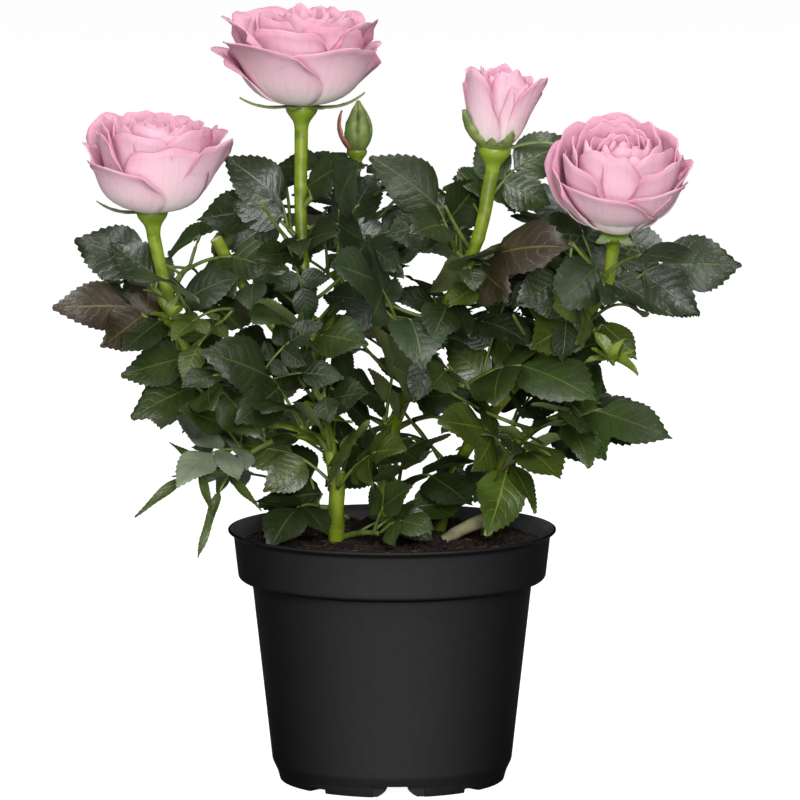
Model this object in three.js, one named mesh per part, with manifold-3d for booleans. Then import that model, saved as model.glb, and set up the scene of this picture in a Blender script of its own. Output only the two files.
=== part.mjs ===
// A potted patio rose: four green canes and two boughs, three open pink blooms, a half-open bloom
// and a green bud, compound leaves in separate sprays, and a black nursery pot filled with peat.
// Millimetres, +Z up. The origin is on the pot's axis, on the plane that the pot stands on.
import * as THREE from "three";
import { mergeVertices } from "three/addons/utils/BufferGeometryUtils.js";
import Module from "manifold-3d";

const wasm = await Module();
wasm.setup();

// Driving dimensions
const RIM_RADIUS = 60;
const POT_HEIGHT = 92.5;
const FOOT_RADIUS = 41.2;
const WALL = 1.3;
const FLOOR = 4;
const SOIL_TOP = 87;
const GAP = 0.3;
const ROUND_STEPS = 32;
const LEAF_THICKNESS = 0.9;
const PETAL_THICKNESS = 0.9;
const PAIR_STAGGER = 0.6;

const UP = new THREE.Vector3(0, 0, 1);

const vec = (x, y, z) => new THREE.Vector3(x, y, z);

// Finishes
const finish = (color, roughness) => new THREE.MeshStandardMaterial({ color, roughness, metalness: 0 });
const LOOKS = {
  pot: finish(0x2b2b2c, 0.45),
  soil: finish(0x2a1c18, 0.95),
  bark: finish(0x6f8a2a, 0.5),
  old_wood: finish(0xa9977c, 0.8),
  green: finish(0x7da02c, 0.5),
  petal: finish(0xe8a2b8, 0.6),
  leaf: finish(0x2c4226, 0.45),
  bronze_leaf: finish(0x54433c, 0.5),
  young_leaf: finish(0x5c7c1a, 0.5),
};

// Solids: a closed three.js geometry becomes a manifold solid and comes back as a geometry
function solidOf(geometry) {
  const bare = geometry.clone();
  bare.deleteAttribute("normal");
  bare.deleteAttribute("uv");
  const merged = mergeVertices(bare, 1e-4);
  const mesh = new wasm.Mesh({
    numProp: 3,
    vertProperties: new Float32Array(merged.attributes.position.array),
    triVerts: new Uint32Array(merged.index.array),
  });
  return new wasm.Manifold(mesh);
}

function geometryOf(solid) {
  const mesh = solid.getMesh();
  const spots = new Float32Array(mesh.numVert * 3);
  for (let i = 0; i < mesh.numVert; i++) {
    spots.set(mesh.vertProperties.subarray(i * mesh.numProp, i * mesh.numProp + 3), i * 3);
  }
  return new THREE.BufferGeometry()
    .setAttribute("position", new THREE.BufferAttribute(spots, 3))
    .setIndex(new THREE.BufferAttribute(mesh.triVerts, 1));
}

function largestPiece(solid) {
  const pieces = solid.decompose();
  return pieces.reduce((best, piece) => (piece.volume() > best.volume() ? piece : best));
}

// The plant: every finished node lands here, in the order in which it was made
const plant = new THREE.Group();
const standing = [];

function keepClear(name, solid) {
  standing.push({ name, solid, box: solid.boundingBox() });
}

// A last light simplification takes out the slivers that cutting leaves
function addNode(name, solid, look) {
  const mesh = new THREE.Mesh(geometryOf(solid.asOriginal().simplify(0.03)), look);
  mesh.name = name;
  plant.add(mesh);
}

function boxesMeet(a, b) {
  return [0, 1, 2].every((k) => a.min[k] <= b.max[k] && b.min[k] <= a.max[k]);
}

// True if a solid touches nothing that stands already, apart from the names that it may cross
function isFree(solid, mayCross) {
  const box = solid.boundingBox();
  return standing.every(
    ({ name, solid: other, box: otherBox }) =>
      mayCross.includes(name) || !boxesMeet(box, otherBox) || solid.intersect(other).volume() < 1e-4,
  );
}

// Pot and soil
function lathe(profile) {
  const outline = profile.map(([r, z]) => new THREE.Vector2(r, z));
  return new THREE.LatheGeometry(outline, ROUND_STEPS).rotateX(Math.PI / 2);
}

const SHOULDER_Z = 70.6;
const COLLAR_Z = 75.5;
const COLLAR_RADIUS = 56.4;
const WAIST_RADIUS = 50.7;
const KNEE = { radius: 43.7, z: 8.9 };

function potSolid() {
  const outside = [
    [0, 0],
    [FOOT_RADIUS - 0.8, 0],
    [FOOT_RADIUS, 1.5],
    [FOOT_RADIUS + 0.8, 4.5],
    [KNEE.radius, KNEE.z],
    [WAIST_RADIUS, SHOULDER_Z - 1.6],
    [WAIST_RADIUS + 2.6, SHOULDER_Z + 1],
    [COLLAR_RADIUS - 0.6, SHOULDER_Z + 2.8],
    [COLLAR_RADIUS, COLLAR_Z],
    [RIM_RADIUS - 2, POT_HEIGHT - 2.6],
    [RIM_RADIUS, POT_HEIGHT - 1.4],
    [RIM_RADIUS - 0.5, POT_HEIGHT],
  ];
  const inside = [
    [RIM_RADIUS - 1.6, POT_HEIGHT],
    [RIM_RADIUS - 2 - WALL, POT_HEIGHT - 2.6],
    [COLLAR_RADIUS - WALL, COLLAR_Z],
    [WAIST_RADIUS - WALL, SHOULDER_Z],
    [KNEE.radius - WALL, KNEE.z],
    [FOOT_RADIUS - 1.6, FLOOR],
    [0, FLOOR],
  ];
  let pot = solidOf(lathe([...outside, ...inside]));
  const notches = 8;
  for (let i = 0; i < notches; i++) {
    const deep = i % 2 === 0;
    const cutter = new THREE.BoxGeometry(14, deep ? 7.5 : 12, deep ? 7 : 3.2);
    cutter.translate(FOOT_RADIUS - 3, 0, 0);
    cutter.rotateZ(((i + 2) / notches) * 2 * Math.PI);
    pot = pot.subtract(solidOf(cutter));
  }
  return pot;
}

function soilSolid() {
  const top = SOIL_TOP;
  const wallAt = (z) => COLLAR_RADIUS - WALL + ((z - COLLAR_Z) / (POT_HEIGHT - 2.6 - COLLAR_Z)) * 1.6;
  return solidOf(
    lathe([
      [0, FLOOR + GAP],
      [FOOT_RADIUS - 1.6 - GAP, FLOOR + GAP],
      [KNEE.radius - WALL - GAP, KNEE.z],
      [WAIST_RADIUS - WALL - GAP, SHOULDER_Z + 0.3],
      [COLLAR_RADIUS - WALL - GAP, COLLAR_Z + 0.3],
      [wallAt(top) - GAP, top],
      [0, top],
    ]),
  );
}

// Limbs: a cylinder bent along a curve, with its radius given along the way
function bentTube(curve, radiusAt, sides, steps) {
  const tube = new THREE.CylinderGeometry(1, 1, 1, sides, steps);
  const spots = tube.attributes.position;
  const middle = curve.getTangent(0.5);
  const across = Math.abs(middle.y) < 0.8 ? vec(0, 1, 0) : vec(1, 0, 0);
  for (let i = 0; i < spots.count; i++) {
    const t = spots.getY(i) + 0.5;
    const along = curve.getTangent(t);
    const side = vec(0, 0, 0).crossVectors(along, across).normalize();
    const other = vec(0, 0, 0).crossVectors(side, along);
    const r = radiusAt(t);
    const spot = curve.getPoint(t).addScaledVector(side, spots.getX(i) * r);
    spot.addScaledVector(other, spots.getZ(i) * r);
    spots.setXYZ(i, spot.x, spot.y, spot.z);
  }
  return tube;
}

// Each limb's places are read from the photo at the pot's scale. Radii run from foot over waist to neck.
const GROUND = SOIL_TOP + GAP;
const ROOT = GROUND - 3;
const LIMBS = {
  cane_front: {
    through: [[-20, 4, ROOT], [-21, 0, 112], [-29, 3, 156], [-33, 8, 200], [-33, 10, 236]],
    radii: [3.3, 2.2, 2.5],
  },
  cane_middle: {
    through: [[-1, 32, ROOT], [-2, 27, 117], [12, 5, 156], [30, -11, 197], [36, -12, 223]],
    radii: [3.2, 2.3, 2.6],
  },
  cane_inner: {
    through: [[16, 24, ROOT], [26, 20, 116], [50, 6, 150], [75, -11, 178], [80, -16, 197]],
    radii: [2.8, 2.0, 2.4],
  },
  cane_right: {
    through: [[34, 10, ROOT], [39, 4, 112], [50, -4, 128], [64, -8, 136]],
    radii: [2.6, 1.7, 1.3],
  },
  bough_left: {
    through: [[-24.6, 1, 124], [-49, -4, 134], [-71, -8, 153], [-81, -12, 180], [-86, -14, 201]],
    radii: [2.3, 1.9, 2.5],
    from: "cane_front",
  },
  bough_bud: {
    through: [[-27.6, 2, 146], [-22, 14, 170], [-15, 24, 196], [-13, 26, 222]],
    radii: [1.8, 1.5, 1.6],
    from: "cane_front",
  },
};

function limbCurve(name) {
  return new THREE.CatmullRomCurve3(LIMBS[name].through.map((p) => vec(...p)), false, "catmullrom", 0.5);
}

function limbRadius(name, t) {
  const [foot, waist, neck] = LIMBS[name].radii;
  return t < 0.5 ? foot + (waist - foot) * Math.sqrt(2 * t) : waist + (neck - waist) * (2 * t - 1) ** 2;
}

// grow makes the sleeve that keeps a neighbour clear of the limb
function limbSolid(name, grow = 0) {
  const steps = 2 * (LIMBS[name].through.length - 1);
  return solidOf(bentTube(limbCurve(name), (t) => limbRadius(name, t) + grow, 8, steps));
}

// A cane is cut flat at ground level
function caneSolid(name) {
  const below = new THREE.BoxGeometry(200, 200, 20).translate(0, 0, GROUND - 10);
  return limbSolid(name).subtract(solidOf(below));
}

// Calyx: the swollen hip under a bloom, with five sepals
function turnTo(geometry, place) {
  const turned = new THREE.Quaternion().setFromUnitVectors(UP, vec(...place.axis).normalize());
  return geometry.applyQuaternion(turned).translate(...place.at);
}

function sepalGeometry(calyx, angle, grow) {
  const blade = new THREE.OctahedronGeometry(1, 0);
  const spots = blade.attributes.position;
  const { length, width, lift } = calyx.sepal;
  for (let i = 0; i < spots.count; i++) {
    const along = spots.getX(i) * 0.5 + 0.5;
    const reach = along === 0.5 ? 0.3 * length : along * length;
    const out = calyx.hip - 1.6 + reach * Math.cos(lift);
    const rise = calyx.height - 1.3 + reach * Math.sin(lift);
    spots.setXYZ(i, out, spots.getY(i) * (0.5 * width + grow), rise + spots.getZ(i) * (0.55 + grow));
  }
  return blade.rotateZ(angle);
}

function calyxSolid(calyx, grow = 0) {
  const { neck, hip, height } = calyx;
  const body = new THREE.LatheGeometry(
    [
      [0, 0],
      [neck, 0],
      [neck * 1.25, height * 0.3],
      [hip * 0.86, height * 0.62],
      [hip, height * 0.88],
      [hip * 0.93, height],
      [0, height],
    ].map(([r, z]) => new THREE.Vector2(r, z)),
    8,
  ).rotateX(Math.PI / 2);
  const parts = [solidOf(turnTo(body, calyx))];
  for (let i = 0; i < 5; i++) {
    const angle = calyx.turn + (i * 2 * Math.PI) / 5;
    parts.push(solidOf(turnTo(sepalGeometry(calyx, angle, grow), calyx)));
  }
  return wasm.Manifold.union(parts);
}

// Petals: u runs across from -1 to 1, v from the base to the lip. A petal's profile is a Bezier curve
// in the plane of its axis, and its blade wraps round that axis.
const bezier = (a, b, c, d, t) =>
  a * (1 - t) ** 3 + 3 * b * t * (1 - t) ** 2 + 3 * c * t ** 2 * (1 - t) + d * t ** 3;

function petalSpot(petal, u, v, offset) {
  const point = petal.point * Math.exp(-((u / 0.3) ** 2)) * v ** 4;
  const w = v * (1 - 0.26 * Math.abs(u) ** 2.4) + point;
  const step = 0.01;
  const out = (t) => bezier(1, petal.belly * 0.95, petal.belly, petal.reach, t);
  const rise = (t) => bezier(0, 0, petal.height * 0.55, petal.height, t);
  const slope = vec(out(w + step) - out(w - step), rise(w + step) - rise(w - step), 0).normalize();
  const curl = petal.curl * Math.abs(u) ** 2.5 * v ** 3;
  const radius = out(w) + slope.y * offset + petal.spiral * u * v + curl;
  const height = rise(w) - slope.x * offset - 0.4 * curl;
  const half = petal.width * (1 - (1 - v) ** 2.2) * (1 - 0.16 * v ** 3);
  const angle = petal.angle + (u * half) / Math.max(radius * petal.wrap, 3.5);
  return vec(radius * Math.cos(angle), radius * Math.sin(angle), height);
}

function petalSolid(petal, place) {
  const sheet = new THREE.BoxGeometry(2, 1, 1, 4, 2, 1);
  const spots = sheet.attributes.position;
  for (let i = 0; i < spots.count; i++) {
    const spot = petalSpot(petal, spots.getX(i), spots.getY(i) + 0.5, spots.getZ(i) * PETAL_THICKNESS);
    spots.setXYZ(i, spot.x, spot.y, spot.z);
  }
  const solid = solidOf(turnTo(sheet, place));
  return solid.volume() < 0 ? null : solid;
}

// Ring rows: how many petals, the first one's heading in degrees, and the size of each
const ring = (count, turn, reach, height, belly, width, curl = 0, point = 0) => ({
  count, turn, reach, height, belly, width, curl, point, spiral: 3, wrap: 1,
});

const BLOOMS = {
  bloom_top: {
    limb: "cane_front",
    axis: [0.02, -0.04, 1],
    calyx: { neck: 2.5, hip: 5.8, height: 10, turn: 0.6, sepal: { length: 19, width: 5, lift: 0.12 } },
    heart: [[0, 0], [8, 0.4], [17, 6.5], [19, 14], [17, 25], [10, 31], [0, 33]],
    rings: [
      ring(5, 178, 33, 16, 21, 21, 1, 0.1),
      ring(5, 214, 28, 31, 20, 18, 1.5),
      ring(3, 190, 19, 36.5, 19, 17, 1),
    ],
  },
  bloom_left: {
    limb: "bough_left",
    axis: [-0.05, -0.12, 1],
    calyx: { neck: 2.6, hip: 5.6, height: 9, turn: 0.2, sepal: { length: 17, width: 4.5, lift: 0.25 } },
    heart: [[0, 0], [8, 0.4], [17, 5.5], [19.5, 13], [17, 23], [10, 29], [0, 31]],
    rings: [
      ring(3, 0, 30, 27, 20, 15, 1, 0.05),
      ring(5, 235, 24, 27, 22, 19, 0.5),
      ring(3, 200, 19, 33, 20, 17, 1),
    ],
  },
  bloom_right: {
    limb: "cane_inner",
    axis: [0.04, -0.6, 0.8],
    calyx: { neck: 2.4, hip: 5.6, height: 8, turn: 0.9, sepal: { length: 15, width: 4.5, lift: -0.3 } },
    heart: [[0, 0], [9, 0.4], [19, 5.5], [22.5, 14], [19, 25], [11, 31], [0, 33]],
    rings: [
      ring(4, 24, 27, 25, 27, 25, 1),
      ring(4, 66, 24, 33, 27, 23, 0.5),
      ring(3, 95, 17, 37, 22, 18, 0.5),
    ],
  },
  bloom_half_open: {
    limb: "cane_middle",
    axis: [0.1, -0.04, 1],
    calyx: { neck: 2.6, hip: 6, height: 9.5, turn: 0.35, sepal: { length: 17, width: 5, lift: 0.75 } },
    heart: [[0, 0], [4.5, 0.3], [8.5, 6], [9.5, 14], [8, 23], [0, 26]],
    rings: [
      ring(5, 215, 13.5, 28, 11, 10.5, 0.5),
    ],
  },
  bloom_bud: {
    limb: "bough_bud",
    axis: [0.02, 0, 1],
    calyx: { neck: 1.7, hip: 3.7, height: 6, turn: 0.5, sepal: { length: 9, width: 4, lift: 1.05 } },
    heart: [[0, 0], [2.6, 0.2], [6.2, 4.5], [5.6, 9.5], [2.4, 14.5], [0, 16.5]],
    rings: [],
  },
};

// A calyx sits on its limb's tip and a bloom on its calyx, each 0.3 mm clear
function calyxOf(bloom) {
  const tip = limbCurve(bloom.limb).getPoint(1);
  const axis = vec(...bloom.axis).normalize();
  const clear = bloom.calyx.neck * Math.sqrt(1 - axis.z ** 2) + GAP;
  return { ...bloom.calyx, axis: bloom.axis, at: tip.addScaledVector(axis, clear).toArray() };
}

function bloomSolid(bloom) {
  const calyx = calyxOf(bloom);
  const axis = vec(...bloom.axis).normalize();
  const seat = vec(...calyx.at).addScaledVector(axis, calyx.height + GAP);
  const place = { axis: bloom.axis, at: seat.toArray() };
  const outline = bloom.heart.map(([r, z]) => new THREE.Vector2(r, z));
  const parts = [solidOf(turnTo(new THREE.LatheGeometry(outline, 12).rotateX(Math.PI / 2), place))];
  for (const row of bloom.rings) {
    for (let i = 0; i < row.count; i++) {
      const angle = THREE.MathUtils.degToRad(row.turn + (360 / row.count) * i);
      const solid = petalSolid({ ...row, angle }, place);
      if (solid) parts.push(solid);
    }
  }
  const fused = largestPiece(wasm.Manifold.union(parts)).asOriginal().simplify(0.45);
  return largestPiece(fused.subtract(limbSolid(bloom.limb, GAP)).subtract(calyxSolid(calyx, 0.4)));
}

// Leaves: a compound leaf is a thin stalk with one leaflet at its end and up to two pairs below it
function seeded(seed) {
  let state = seed;
  return () => {
    state = (state * 16807) % 2147483647;
    return state / 2147483647;
  };
}

// The way a blade faces: up, outwards from the plant, and towards the light on its front side
function facing(spot, dir, tilt) {
  const outward = vec(spot.x, spot.y, 0).multiplyScalar(1 / 100);
  const light = vec(0.1, spot.y < 20 ? -1.1 : 0.3, 0);
  const face = outward.add(light).add(vec(tilt * 0.5, 0, 0.8));
  return face.addScaledVector(dir, -face.dot(dir)).normalize();
}

// A point of the two straight stretches that a bent stalk is made of
function onStalk(curve, t) {
  const half = t < 0.5 ? 0 : 0.5;
  return curve.getPoint(half).lerp(curve.getPoint(half + 0.5), (t - half) * 2);
}

function leafPlan(start, tip, size, slim, draws) {
  const chord = vec(0, 0, 0).subVectors(tip, start);
  const dir = chord.clone().normalize().add(vec(0, 0, -0.22)).normalize();
  const node = tip.clone().addScaledVector(dir, -size);
  const stalk = node.distanceTo(start);
  const bow = start.clone().add(node).multiplyScalar(0.5).add(vec(0, 0, 0.14 * stalk));
  const curve = new THREE.QuadraticBezierCurve3(start, bow, node);
  const normal = facing(node, dir, draws[0] - 0.5);
  const leaflets = [{ base: node, dir, normal, length: size, width: size * 0.76 * slim }];
  const rows = [
    { back: 0.26, share: 0.8 },
    { back: 0.78, share: 0.58 },
  ];
  rows.forEach(({ back, share }, row) => {
    const t = 1 - (back * size) / Math.max(stalk, 1);
    if (t < 0.22) return;
    const along = curve.getTangent(t);
    const flat = normal.clone().addScaledVector(along, -normal.dot(along)).normalize();
    const side = vec(0, 0, 0).crossVectors(flat, along);
    for (const hand of [-1, 1]) {
      const splay = 1.2 + 0.3 * (draws[1 + row] - 0.5);
      const out = along.clone().multiplyScalar(Math.cos(splay)).addScaledVector(side, hand * Math.sin(splay));
      out.addScaledVector(flat, 0.25 * (draws[3] - 0.6)).normalize();
      const face = flat.clone().addScaledVector(out, -flat.dot(out)).normalize();
      const base = onStalk(curve, t + (hand * PAIR_STAGGER) / stalk);
      const length = size * share;
      leaflets.push({ base, dir: out, normal: face, length, width: length * 0.78 * slim });
    }
  });
  return { curve, leaflets };
}

// A blade is a three-sided cone: its apex and the middle of its base become the blade's two sides,
// and the three corners of its rim become the tip and the upper and lower edge of the root
function leafletSolid({ base, dir, normal, length, width }, grow = 0) {
  const blade = new THREE.ConeGeometry(1, 1, 3);
  const spots = blade.attributes.position;
  const side = vec(0, 0, 0).crossVectors(normal, dir);
  const corner = (along, across, up) =>
    base.clone().addScaledVector(dir, along).addScaledVector(side, across).addScaledVector(normal, up);
  for (let i = 0; i < spots.count; i++) {
    const isSide = Math.hypot(spots.getX(i), spots.getZ(i)) < 0.5;
    const isTip = spots.getZ(i) > 0.5;
    let spot;
    if (isSide) spot = corner(0.4 * length, -Math.sign(spots.getY(i)) * (width / 2 + grow), 0.07 * width);
    else if (isTip) spot = corner(length + grow, 0, -0.06 * length);
    else spot = corner(-0.2, 0, Math.sign(spots.getX(i)) * (LEAF_THICKNESS / 2 + grow));
    spots.setXYZ(i, spot.x, spot.y, spot.z);
  }
  return solidOf(blade);
}

// Sprays: each has one stem that leaves a limb at a share of its length, and leaves with their tips where
// the photo shows them. The first is the leading leaf. A row is x, y, z, the end leaflet's length and,
// for a narrow leaf, how slim it is. Leaves are a little larger than life, for they are fewer.
const on = (limb, at, ...tips) => ({ limb, at, tips });

const SPRAYS = {
  far_right: on("cane_inner", 0.74, [128, 2, 190, 31], [103, -14, 173, 26], [99, 14, 192, 22]),
  left_top: on("bough_left", 0.72, [-116, -5, 201, 29], [-101, -15, 199, 22]),
  left_bronze: on("bough_left", 0.6, [-122, -22, 177, 28], [-97, -30, 163, 23]),
  left_middle: on("bough_left", 0.48, [-98, -18, 150, 26], [-66, 22, 172, 26]),
  left_low: on("bough_left", 0.36, [-92, -26, 139, 26], [-47, -34, 132, 26]),
  left_droop: on("bough_left", 0.1, [-93, -30, 102, 24, 0.45], [-71, -34, 87, 27, 0.4], [-78, -38, 117, 20]),
  left_heart: on("bough_left", 0.64, [-58, -22, 190, 24], [-86, 8, 160, 24]),
  left_inner: on("cane_front", 0.3, [-64, -42, 164, 31], [-57, -36, 143, 25]),
  left_fan: on("cane_front", 0.48, [-49, -34, 178, 29], [-12, -32, 166, 24]),
  left_narrow: on("cane_front", 0.66, [-47, -20, 197, 28, 0.7], [-52, 22, 176, 28]),
  upper_left: on("cane_front", 0.72, [-60, 6, 229, 26], [-72, 12, 206, 26]),
  upper_middle: on("cane_front", 0.8, [-16, -8, 229, 24], [-42, 30, 216, 24]),
  upper_glossy: on("bough_bud", 0.42, [-18, -30, 228, 30], [-6, 22, 222, 26]),
  upper_right: on("cane_middle", 0.7, [-5, -20, 232, 30], [16, 6, 218, 25]),
  behind_half_open: on("cane_middle", 0.8, [33, 14, 228, 26], [50, 14, 222, 26]),
  right_behind: on("cane_inner", 0.78, [60, 18, 222, 27], [44, 34, 208, 25]),
  centre_high: on("cane_middle", 0.6, [65, -38, 205, 35], [18, -40, 203, 29]),
  centre: on("cane_middle", 0.5, [-19, -50, 196, 29], [12, -56, 163, 30]),
  right_veined: on("cane_inner", 0.86, [60, -42, 180, 27]),
  right_young: on("cane_inner", 0.66, [90, -14, 158, 18], [50, -30, 163, 28]),
  lower_centre: on("cane_middle", 0.42, [73, -48, 150, 36], [16, -50, 153, 20]),
  right_bottom: on("cane_right", 0.8, [102, -18, 129, 29], [88, 16, 148, 25], [72, -34, 122, 22]),
  low_right: on("cane_right", 0.4, [60, -34, 120, 26], [36, -28, 95, 26]),
  low_dark: on("cane_middle", 0.16, [28, -20, 106, 27], [8, -24, 124, 24]),
  inner_dark: on("cane_middle", 0.3, [-14, -8, 148, 28], [22, -12, 166, 26]),
  inner_yellow: on("cane_inner", 0.36, [24, 4, 146, 24], [56, 22, 166, 26]),
  low_bright: on("cane_front", 0.18, [-18, -38, 132, 24], [4, -40, 128, 18]),
  low_left_dark: on("cane_front", 0.14, [-50, 6, 102, 25], [-44, 20, 122, 24]),
  soil_runner: on("cane_front", 0.03, [14, -34, 98, 16], [6, -28, 112, 18]),
};

const SPRAY_LOOKS = {
  left_bronze: "bronze_leaf",
  right_young: "young_leaf",
  low_right: "young_leaf",
  inner_yellow: "young_leaf",
  low_bright: "young_leaf",
};

// Behind, the crown is filled from the same canes by a loop: headings fan out over the far side
const BACK_SPRAYS = 10;
const BACK_LIMBS = ["cane_inner", "cane_middle", "cane_front", "bough_left", "bough_bud"];
for (let i = 0; i < BACK_SPRAYS; i++) {
  const heading = THREE.MathUtils.degToRad(8 + 18 * i);
  const reach = 100 - 12 * (i % 3);
  const height = 128 + 34 * ((i * 2) % 3) + 5 * (i % 2);
  const tip = [reach * Math.cos(heading), reach * Math.sin(heading), height, 30];
  const limb = BACK_LIMBS[Math.floor(i / 2)];
  SPRAYS[`back_${i + 1}`] = { ...on(limb, 0.3 + 0.22 * ((i * 2) % 3), tip), fill: 2 };
}

const MAX_TRIES = 7;

function tiedTube(curve, from, to, sides, steps) {
  return solidOf(bentTube(curve, (t) => from + (to - from) * t, sides, steps));
}

// One leaf on a stem: the stalk is turned sideways until it is free, and a leaflet that touches is skipped
function growLeaf(spray, start, tip, size, slim, draws, mayCrossOwn) {
  const own = [spray.name, `${spray.name} leaf`];
  for (let attempt = 0; attempt < MAX_TRIES; attempt++) {
    const swing = Math.ceil(attempt / 2) * (attempt % 2 ? 1 : -1) * 0.16;
    const chord = vec(0, 0, 0).subVectors(tip, start).applyAxisAngle(UP, swing);
    const plan = leafPlan(start, start.clone().add(chord), size, slim, draws);
    const [end, ...pairs] = plan.leaflets;
    if (!isFree(tiedTube(plan.curve, 0.95, 0.8, 3, 2), own)) continue;
    if (!isFree(leafletSolid(end, GAP), mayCrossOwn ? own : [spray.name])) continue;
    const kept = pairs.filter((leaflet) => isFree(leafletSolid(leaflet, GAP), [spray.name]));
    const stalk = tiedTube(plan.curve, 0.75, 0.5, 3, 2);
    const leaf = wasm.Manifold.union([stalk, ...[end, ...kept].map((leaflet) => leafletSolid(leaflet))]);
    spray.parts.push(leaf);
    keepClear(`${spray.name} leaf`, leaf);
    return;
  }
}

function startSpray(name, plan) {
  const start = limbCurve(plan.limb).getPoint(plan.at);
  const [x, y, z, size] = plan.tips[0];
  const chord = vec(x, y, z).sub(start);
  const length = Math.max(8, chord.length() - 1.75 * size);
  const end = start.clone().addScaledVector(chord.clone().normalize(), length);
  const bow = start.clone().add(end).multiplyScalar(0.5).add(vec(0, 0, 0.1 * length));
  const curve = new THREE.QuadraticBezierCurve3(start, bow, end);
  const stem = tiedTube(curve, 1.3, 1, 4, 2);
  const draw = seeded(name.length * 7919 + name.charCodeAt(name.length - 1) * 104729);
  keepClear(name, stem);
  return { ...plan, name, curve, chord, draw, parts: [stem] };
}

function growAimedLeaves(spray) {
  spray.tips.forEach(([x, y, z, size, slim = 1], i) => {
    const draws = [spray.draw(), spray.draw(), spray.draw(), spray.draw()];
    growLeaf(spray, onStalk(spray.curve, 1 - 0.15 * i), vec(x, y, z), size, slim, draws, true);
  });
}

function growFillLeaves(spray) {
  for (let i = 0; i < (spray.fill ?? 1); i++) {
    const draws = [spray.draw(), spray.draw(), spray.draw(), spray.draw()];
    const foot = onStalk(spray.curve, 0.8);
    const hand = (draws[3] > 0.5 ? 1 : -1) * (i % 2 ? -1 : 1);
    const turn = hand * (0.8 + 0.9 * draws[0]);
    const out = spray.chord.clone().normalize().applyAxisAngle(UP, turn);
    out.setZ(0.9 * draws[1] - 0.2).normalize();
    const size = 20 + 6 * draws[2];
    growLeaf(spray, foot, foot.clone().addScaledVector(out, 1.8 * size), size, 1, draws, false);
  }
}

function finishSpray(spray) {
  const fused = wasm.Manifold.union(spray.parts).subtract(limbSolid(spray.limb, GAP));
  return largestPiece(fused.asOriginal().simplify(0.3));
}

// A cut stump of old wood leans out of the soil beside the canes
function stumpSolid() {
  const curve = new THREE.QuadraticBezierCurve3(vec(20, -2, GROUND + 2.4), vec(28, -3, 92), vec(36, -5, 95));
  return tiedTube(curve, 2.1, 2.6, 8, 2);
}

function addRigid(name, solid, look) {
  addNode(name, solid, look);
  keepClear(name, solid);
}

addRigid("pot", potSolid(), LOOKS.pot);
addRigid("soil", soilSolid(), LOOKS.soil);
addRigid("stump", stumpSolid(), LOOKS.old_wood);
for (const name of Object.keys(LIMBS)) {
  const parent = LIMBS[name].from;
  const bough = () => largestPiece(limbSolid(name).subtract(limbSolid(parent, GAP)));
  addRigid(name, parent ? bough() : caneSolid(name), LOOKS.bark);
}
for (const [name, bloom] of Object.entries(BLOOMS)) {
  addRigid(name.replace("bloom", "calyx"), calyxSolid(calyxOf(bloom)), LOOKS.green);
  addRigid(name, bloomSolid(bloom), name === "bloom_bud" ? LOOKS.green : LOOKS.petal);
}

// Stems first, then the leaves that the photo shows, then the leaves that fill the crown
const sprays = Object.entries(SPRAYS).map(([name, plan]) => startSpray(`leaves_${name}`, plan));
sprays.forEach(growAimedLeaves);
sprays.forEach(growFillLeaves);
for (const spray of sprays) {
  const look = SPRAY_LOOKS[spray.name.replace("leaves_", "")] ?? "leaf";
  addNode(spray.name, finishSpray(spray), LOOKS[look]);
}

export default plant;
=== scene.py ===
# %% [markdown]
# # A potted patio rose
# This lesson dresses the CAD model of a small potted rose: pot, peat, canes, leaves and flowers.
# The CAD part says where everything is. Each cell replaces some of its plain solids by a finer mesh in the same place.
# The frame is in metres. The plant's own numbers are easier to read in millimetres, so they are scaled once, at the end
# of each piece.

import math
import bmesh
import bpy
import numpy as np
from mathutils import Matrix, Vector, noise
from mathutils.kdtree import KDTree


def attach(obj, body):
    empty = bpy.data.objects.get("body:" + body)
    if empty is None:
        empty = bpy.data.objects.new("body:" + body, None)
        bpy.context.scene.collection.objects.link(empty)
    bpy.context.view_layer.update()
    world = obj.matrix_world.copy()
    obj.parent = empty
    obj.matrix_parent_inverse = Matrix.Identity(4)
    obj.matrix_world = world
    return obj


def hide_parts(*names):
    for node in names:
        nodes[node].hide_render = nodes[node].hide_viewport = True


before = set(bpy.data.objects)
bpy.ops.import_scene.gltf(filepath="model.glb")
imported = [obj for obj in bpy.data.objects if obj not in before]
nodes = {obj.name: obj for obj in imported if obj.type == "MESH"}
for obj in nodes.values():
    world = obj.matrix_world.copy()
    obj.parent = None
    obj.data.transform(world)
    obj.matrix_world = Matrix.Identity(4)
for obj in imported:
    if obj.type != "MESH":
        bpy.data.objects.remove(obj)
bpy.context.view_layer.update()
MM = 0.001

# %% [markdown]
# # Camera
# A studio photographer stands well back with a long lens, so that the pot's sides hardly converge.
# The rim of the pot is drawn as a thin ellipse, and its flatness gives the height of the camera: about 7.6 degrees
# above level.

# %% Place the camera
FOCAL_LENGTH, SENSOR_WIDTH = 311.83, 36
EYE, TARGET = (0.0029, -2.5, 0.473), (0.0029, 0, 0.1394)


def put(name, data):
    """Places a mesh, a lamp or a camera in the scene as an object."""
    thing = bpy.data.objects.new(name, data)
    bpy.context.collection.objects.link(thing)
    return thing


def look_at(thing, target):
    """Turns a camera or a lamp towards a spot, and returns the way to it."""
    way = Vector(target) - thing.location
    thing.rotation_euler = way.to_track_quat("-Z", "Y").to_euler()
    return way


lens = bpy.data.cameras.new("photo_camera")
lens.lens, lens.sensor_width, lens.clip_end = FOCAL_LENGTH, SENSOR_WIDTH, 50
camera = put("photo_camera", lens)
camera.location = EYE
aim = look_at(camera, TARGET)
bpy.context.scene.camera = camera
print("camera looks down by", round(math.degrees(math.asin(-aim.z / aim.length)), 2), "degrees")

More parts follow.
